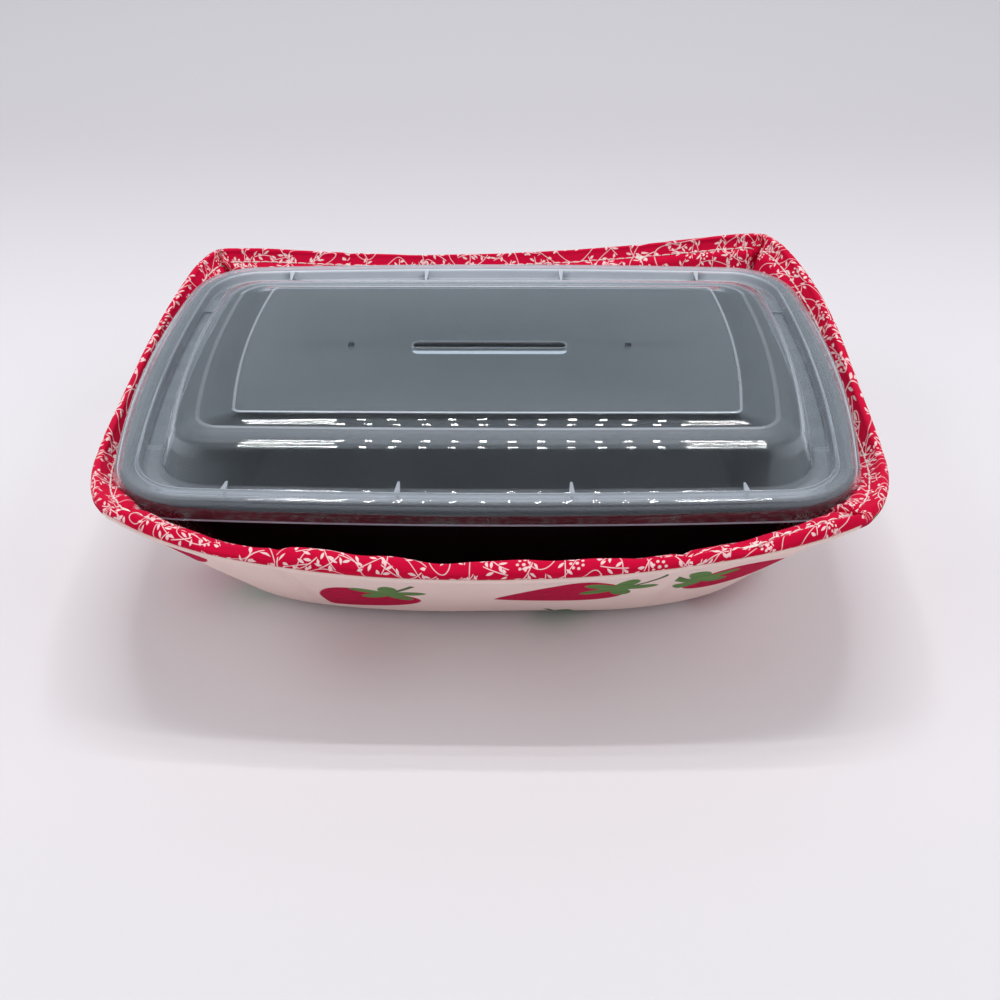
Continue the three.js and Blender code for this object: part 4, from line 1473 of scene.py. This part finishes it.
LID_TOP = [
    (111.0, 76.5, 24.6, 9.3, 4.0, 49.7, 0.4, 0.8, 0.5, 0, 0.05),
    (110.5, 76.1, 23.9, 9.3, 4.0, 53.2, 1.5, 0, 0.1, 0, 0.15),
    (109.5, 75.1, 22.4, 8.8, 3.9, 55.0, 1.5, 0.12, 0.2, 0.3, 0.2),
    (106.5, 72.4, 18.7, 7.0, 3.6, 56.0, 1.5, 0.48, 0.25, 0.48, 0.2),
    (102.0, 69.0, 17.0, 5.4, 3.3, 55.8, 0.6, 1.0, 0.4, 1.0, 0.4),
    (101.0, 67.8, 16.2, 5.0, 3.0, 53.0, 0.6, 0.7, 0.3, 0.56, 0.3),
    (97.0, 65.5, 16.0, 6.5, 2.5, 53.1, 1.5, 0.2, 0.25, 0, 0.2),
    (94.8, 54.3, 12.0, 5.0, 1.2, 59.2, 3.6, 0, 0.45, 0.05, 0.12),
    (91.6, 50.5, 10.6, 4.6, 1.2, 60.6, 3.6, 0.2, 0.1, 0.28, 0.1),
    (88.5, 47.2, 9.0, 4.0, 1.2, 61.2, 0.6, 0.34, 0.1, 0.34, 0.1),
    (87.0, 45.7, 7.0, 3.5, 1.2, 61.5, 0.6, 0.6, 0.25, 0, 0.06),
    (83.3, 43.8, 5.8, 3.4, 1.0, 62.0, 3.0, 0, 0.06, 0, 0.06),
    (79.7, 41.9, 3.8, 3.2, 0.6, 62.7, 3.0, 0, 0.06, 0, 0.06),
    (76.0, 40.0, 2.0, 3.0, 0.4, 63.6, 0.4, 1.0, 0.5, 0.09, 0.09),
    (72.0, 36.0, 1.8, 2.6, 0.4, 63.6, 0.6, 0.09, 0.09),
]
LID_UNDER_MIDDLE = 62.7
LID_TOP_MIDDLE = 63.6
LID_WALL = 0.9
RECESS_HALF_LENGTH = 42.0
RECESS_DRAFT = 0.3
RECESS_FLOOR = 52.6
RECESS_TOP = 53.1
RECESS_INNER = (96.9, 6.5, 65.5)
RECESS_OUTER = (101.2, 5.0, 67.8)
RECESS_STEPS = 24
RECESS_MARK_X = 96.9
RECESS_MARK_HALF = 3.3
GRIP_SLOT = {"half_length": 24.0, "half_width": 2.1, "draft": 0.6, "top": 63.8, "floor": 61.9}
SLOT_END_STEPS = 14
SLOT_CLEAR = 0.5
WEB_X = (-72, -24, 24, 72)
WEB_OUTER_Y = 68.9
WEB_BOW = 3.0
WEB_BOW_HALF = 102.5
WEB_INNER_Y = 62.5
WEB_BASE = 52.6
WEB_OUTER_TOP = 55.7
WEB_INNER_TOP = 54.9
WEB_OUTER_HALF = 0.8
WEB_INNER_HALF = 0.3
WEB_MILKY = 0.8
NUB_X = (-43.3, 43.3)
NUB_RADIUS = 1.1
NUB_HEIGHT = 0.9
NUB_SIDES = 20
NUB_PROFILE = ((1.0, -0.45), (1.0, 0.3), (0.8, 0.7), (0.45, 0.95))
RECESS_MILKY = 0.25
SAME_PLACE = 0.00002
BEND_HAZE_AND_HIGHLIGHT = 0.6
LINE_HAZE_AND_HIGHLIGHT = 0.3
GLANCE_HAZE = 0.5
GLANCE_POWER = 6.0
BACK_PAINTED_SHEEN = 0.006
EDGE_LINE_HALF = 0.22
EDGE_LINE_SOFT = 0.12
CLOUD_SCALE = 45.0
CLOUD_DETAIL = 3.0
CLOUD_HAZE = 0.02
LEAST_HAZE = 0.005
WAVE_SCALE = 60.0
WAVE_DETAIL = 1.0
WAVE_RISE = 0.0004
WAVE_STRENGTH = 0.01
CLEAR_IOR = 1.48
CLEAR_COLOUR = (0.97, 0.985, 1.0, 1)
NO_MOVE = Matrix.Identity(4)
HALF_TURN = Matrix.Rotation(math.pi, 4, "Z")


def slot_ring(half_length, half_width, z):
    """A slot outline with round ends, its long axis along X."""
    points = []
    for side in (1, -1):
        for angle in np.linspace(-math.pi / 2, math.pi / 2, SLOT_END_STEPS + 1):
            reach = half_length - half_width + half_width * math.cos(angle)
            points.append((side * reach, side * half_width * math.sin(angle), z))
    return np.array(points)


def slot_mesh(name, lower, upper):
    """A slot shaped block between two outlines."""
    rings = [slot_ring(*lower), slot_ring(*upper)]
    return ring_mesh(name, rings, lower[2], upper[2])


def slot_meshes(half_length, half_width, draft, top, floor):
    """The thin shell under a sunk slot, and the hollow that is cut into it."""
    under = (half_length - draft + LID_WALL, half_width - draft + LID_WALL, floor - LID_WALL)
    over = (half_length + LID_WALL, half_width + LID_WALL, top - LID_WALL / 2)
    grow = draft * SLOT_CLEAR / (top - floor)
    hollow_under = (half_length - draft, half_width - draft, floor)
    hollow_over = (half_length + grow, half_width + grow, top + SLOT_CLEAR)
    return slot_mesh("slot_shell", under, over), slot_mesh("slot_hollow", hollow_under, hollow_over)


def recess_ring(draft, z):
    """The outline of the recess in the right end channel, bowed as the channel is."""
    reach = RECESS_HALF_LENGTH - draft
    along = np.linspace(-reach, reach, RECESS_STEPS)

    def edge(half_x, bow_depth, half_y):
        return half_x - bow_depth * (along / half_y) ** 2

    outer = np.stack([edge(*RECESS_OUTER) - draft, along], axis=1)
    inner = np.stack([edge(*RECESS_INNER) + draft, along], axis=1)
    return np.array([(x, y, z) for x, y in np.concatenate([outer, inner[::-1]])])


def recess_mesh(name, drafts, heights):
    """A bowed bar between two outlines, closed at both ends by strips."""
    rings = [recess_ring(draft, z) for draft, z in zip(drafts, heights)]
    count = 2 * RECESS_STEPS
    faces = []
    for k in range(count):
        n = (k + 1) % count
        faces.append((k, n, count + n, count + k))
    for k in range(RECESS_STEPS - 1):
        strip = (k, k + 1, count - 2 - k, count - 1 - k)
        faces.append(strip[::-1])
        faces.append(tuple(count + corner for corner in strip))
    return new_mesh(name, np.concatenate(rings), faces)


def recess_meshes():
    """The thin shell under a recess, and the hollow that is cut into it."""
    shell_part = recess_mesh("recess_shell", (RECESS_DRAFT - LID_WALL, -LID_WALL),
                             (RECESS_FLOOR - LID_WALL, RECESS_TOP - LID_WALL / 2))
    hollow_part = recess_mesh("recess_hollow", (RECESS_DRAFT, 0), (RECESS_FLOOR, RECESS_TOP + SLOT_CLEAR))
    return shell_part, hollow_part


def web_mesh(x, side):
    """A thin tapering web from the rim to the foot of the raised top."""
    outer_y = WEB_OUTER_Y - WEB_BOW * (x / WEB_BOW_HALF) ** 2
    points = []
    outer_end = (outer_y, WEB_OUTER_HALF, WEB_OUTER_TOP)
    inner_end = (WEB_INNER_Y, WEB_INNER_HALF, WEB_INNER_TOP)
    for y, half, top in (outer_end, inner_end):
        points += [(x - half, side * y, WEB_BASE), (x + half, side * y, WEB_BASE)]
        points += [(x + half, side * y, top), (x - half, side * y, top)]
    faces = [(0, 1, 2, 3), (7, 6, 5, 4), (0, 4, 5, 1), (1, 5, 6, 2), (2, 6, 7, 3), (3, 7, 4, 0)]
    return new_mesh("web", points, faces)


def nub_mesh(x):
    """A small round nub on the lid's top."""
    angles = np.linspace(0, 2 * math.pi, NUB_SIDES, endpoint=False)
    around = np.stack([np.cos(angles), np.sin(angles), np.zeros(NUB_SIDES)], axis=1)
    rings = []
    for radius, z in NUB_PROFILE:
        rings.append(around * NUB_RADIUS * radius + (x, 0, LID_TOP_MIDDLE + NUB_HEIGHT * z))
    mesh = ring_mesh("nub", rings, rings[0][0][2], rings[-1][0][2])
    mesh.vertices[-1].co.x = x * MM
    mesh.vertices[-2].co.x = x * MM
    return mesh


def gathered(name, parts):
    """One hidden object from several meshes, each with its own placing."""
    together = bmesh.new()
    for mesh, placing in parts:
        mesh.transform(placing)
        together.from_mesh(mesh)
    bmesh.ops.recalc_face_normals(together, faces=together.faces)
    mesh = bpy.data.meshes.new(name)
    together.to_mesh(mesh)
    together.free()
    return bpy.data.objects.new(name, mesh)


def carved(piece, tool, operation):
    """Apply one Boolean and drop its tool."""
    bpy.context.collection.objects.link(tool)
    cut = piece.modifiers.new(operation, "BOOLEAN")
    cut.operation = operation
    cut.solver = "EXACT"
    cut.object = tool
    applied(piece)
    bpy.data.objects.remove(tool)
    return piece


def lid_shell():
    """The lid's plain shell, what is added to it, what is cut out of it, and how milky its places are, which
    also sets their painted highlight.
    """
    rows = rounded_rows(LID_UNDER + LID_TOP)
    rings = [bowed_ring(row) for row in rows]
    marks = []
    for row, ring in zip(rows, rings):
        heading = np.roll(ring, -1, axis=0) - np.roll(ring, 1, axis=0)
        end_share = np.abs(heading[:, 1]) / np.linalg.norm(heading, axis=1)
        at_sides, at_ends = row[BEND_MILKY_AND_HIGHLIGHT]
        milky_and_highlight = at_sides + (at_ends - at_sides) * end_share
        marks += [(Vector(point * MM), value) for point, value in zip(ring, milky_and_highlight)]
    mesh = ring_mesh("lid", rings, LID_UNDER_MIDDLE, LID_TOP_MIDDLE)
    shells, hollows = [], []
    for side, placing in ((-1, HALF_TURN), (1, NO_MOVE)):
        shell_part, hollow_part = recess_meshes()
        shells.append((shell_part, placing))
        hollows.append((hollow_part, placing))
        marks += [(placing @ v.co, RECESS_MILKY) for v in hollow_part.vertices]
        shells += [(web_mesh(x, side), NO_MOVE) for x in WEB_X]
    shell_part, hollow_part = slot_meshes(**GRIP_SLOT)
    shells.append((shell_part, NO_MOVE))
    hollows.append((hollow_part, NO_MOVE))
    shells += [(nub_mesh(x), NO_MOVE) for x in NUB_X]
    return mesh, gathered("lid_additions", shells), gathered("lid_hollows", hollows), marks


def slot_line(finish, along, across, half_length, half_width):
    """A thin line round the outline of a slot with round ends, in millimetres."""
    beyond = finish.math("MAXIMUM", abs(along) - (half_length - half_width), 0.0)
    from_line = finish.distance(beyond, across) - half_width
    return finish.below(abs(from_line), EDGE_LINE_HALF, EDGE_LINE_SOFT)


def clear_plastic_finish():
    """Clear plastic, milky at its bends, at glancing angles, at the recesses' ends and round the slot.

    The lines at the bends, the recess ends and round the slot are partly milky plastic and partly painted
    highlight, and the paler back is a painted sheen.
    """
    finish = Finish("clear_plastic")
    place = finish.place()
    x, y, _ = finish.split(finish.scaled(place, MM_PER_METRE))
    bend = finish.add("ShaderNodeAttribute", {"attribute_name": "bend"})["Fac"]
    recess = finish.below(abs(abs(y) - RECESS_HALF_LENGTH), EDGE_LINE_HALF, EDGE_LINE_SOFT)
    recess = recess * finish.below(abs(abs(x) - RECESS_MARK_X), RECESS_MARK_HALF, EDGE_LINE_SOFT)
    glance = finish.add("ShaderNodeLayerWeight", {}, {"Blend": 0.5})["Facing"] ** GLANCE_POWER
    grip = slot_line(finish, x, y, GRIP_SLOT["half_length"], GRIP_SLOT["half_width"])
    cloud = finish.noise(place, CLOUD_SCALE, CLOUD_DETAIL)
    colour = finish.mix(cloud, from_screen(199, 207, 219), from_screen(216, 223, 233))
    normal = finish.bump(finish.noise(place, WAVE_SCALE, WAVE_DETAIL), WAVE_RISE, WAVE_STRENGTH)
    glass = finish.surface(Base_Color=CLEAR_COLOUR, Roughness=0.015, IOR=CLEAR_IOR,
                           Transmission_Weight=1.0, Normal=normal)
    haze_and_highlight = finish.surface(Base_Color=colour, Roughness=0.3, IOR=CLEAR_IOR, Normal=normal)
    # The bend, recess and slot lines are partly milky plastic and partly painted highlight along the edges.
    lines = finish.either(bend * BEND_HAZE_AND_HIGHLIGHT, recess * LINE_HAZE_AND_HIGHLIGHT, grip * LINE_HAZE_AND_HIGHLIGHT, glance * GLANCE_HAZE)
    # The lid is painted paler towards the back: a painted sheen for the brighter reflection there.
    back_painted_sheen = finish.math("MAXIMUM", y, 0.0) * BACK_PAINTED_SHEEN + 1
    amount = lines * back_painted_sheen + cloud * CLOUD_HAZE + LEAST_HAZE
    return finish.close(finish.mix_shaders(amount, glass, haze_and_highlight))


def place_tree(places):
    """A tree that finds the nearest of many places."""
    tree = KDTree(len(places))
    for index, place in enumerate(places):
        tree.insert(place, index)
    tree.balance()
    return tree


def mark_bends(mesh, marks):
    """Store how milky each point is, which also sets its painted highlight: the value of the nearest mark,
    and the webs' own value on the webs.
    """
    row_tree = place_tree([place for place, _ in marks])
    web_tree = place_tree([v.co for x in WEB_X for side in (-1, 1) for v in web_mesh(x, side).vertices])
    values = []
    for vertex in mesh.vertices:
        on_web = web_tree.find(vertex.co)[2] < SAME_PLACE
        values.append(WEB_MILKY if on_web else marks[row_tree.find(vertex.co)[1]][1])
    attribute = mesh.attributes.new("bend", "FLOAT", "POINT")
    attribute.data.foreach_set("value", values)


lid_mesh, lid_additions, lid_hollows, milky_and_highlight_marks = lid_shell()
lid = finished("lid", lid_mesh, clear_plastic_finish())
carved(lid, lid_additions, "UNION")
carved(lid, lid_hollows, "DIFFERENCE")
mark_bends(lid.data, milky_and_highlight_marks)
creased(lid)
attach(lid, "lid")
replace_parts(lid, "tray_lid")
print("lid faces:", len(lid.data.polygons))
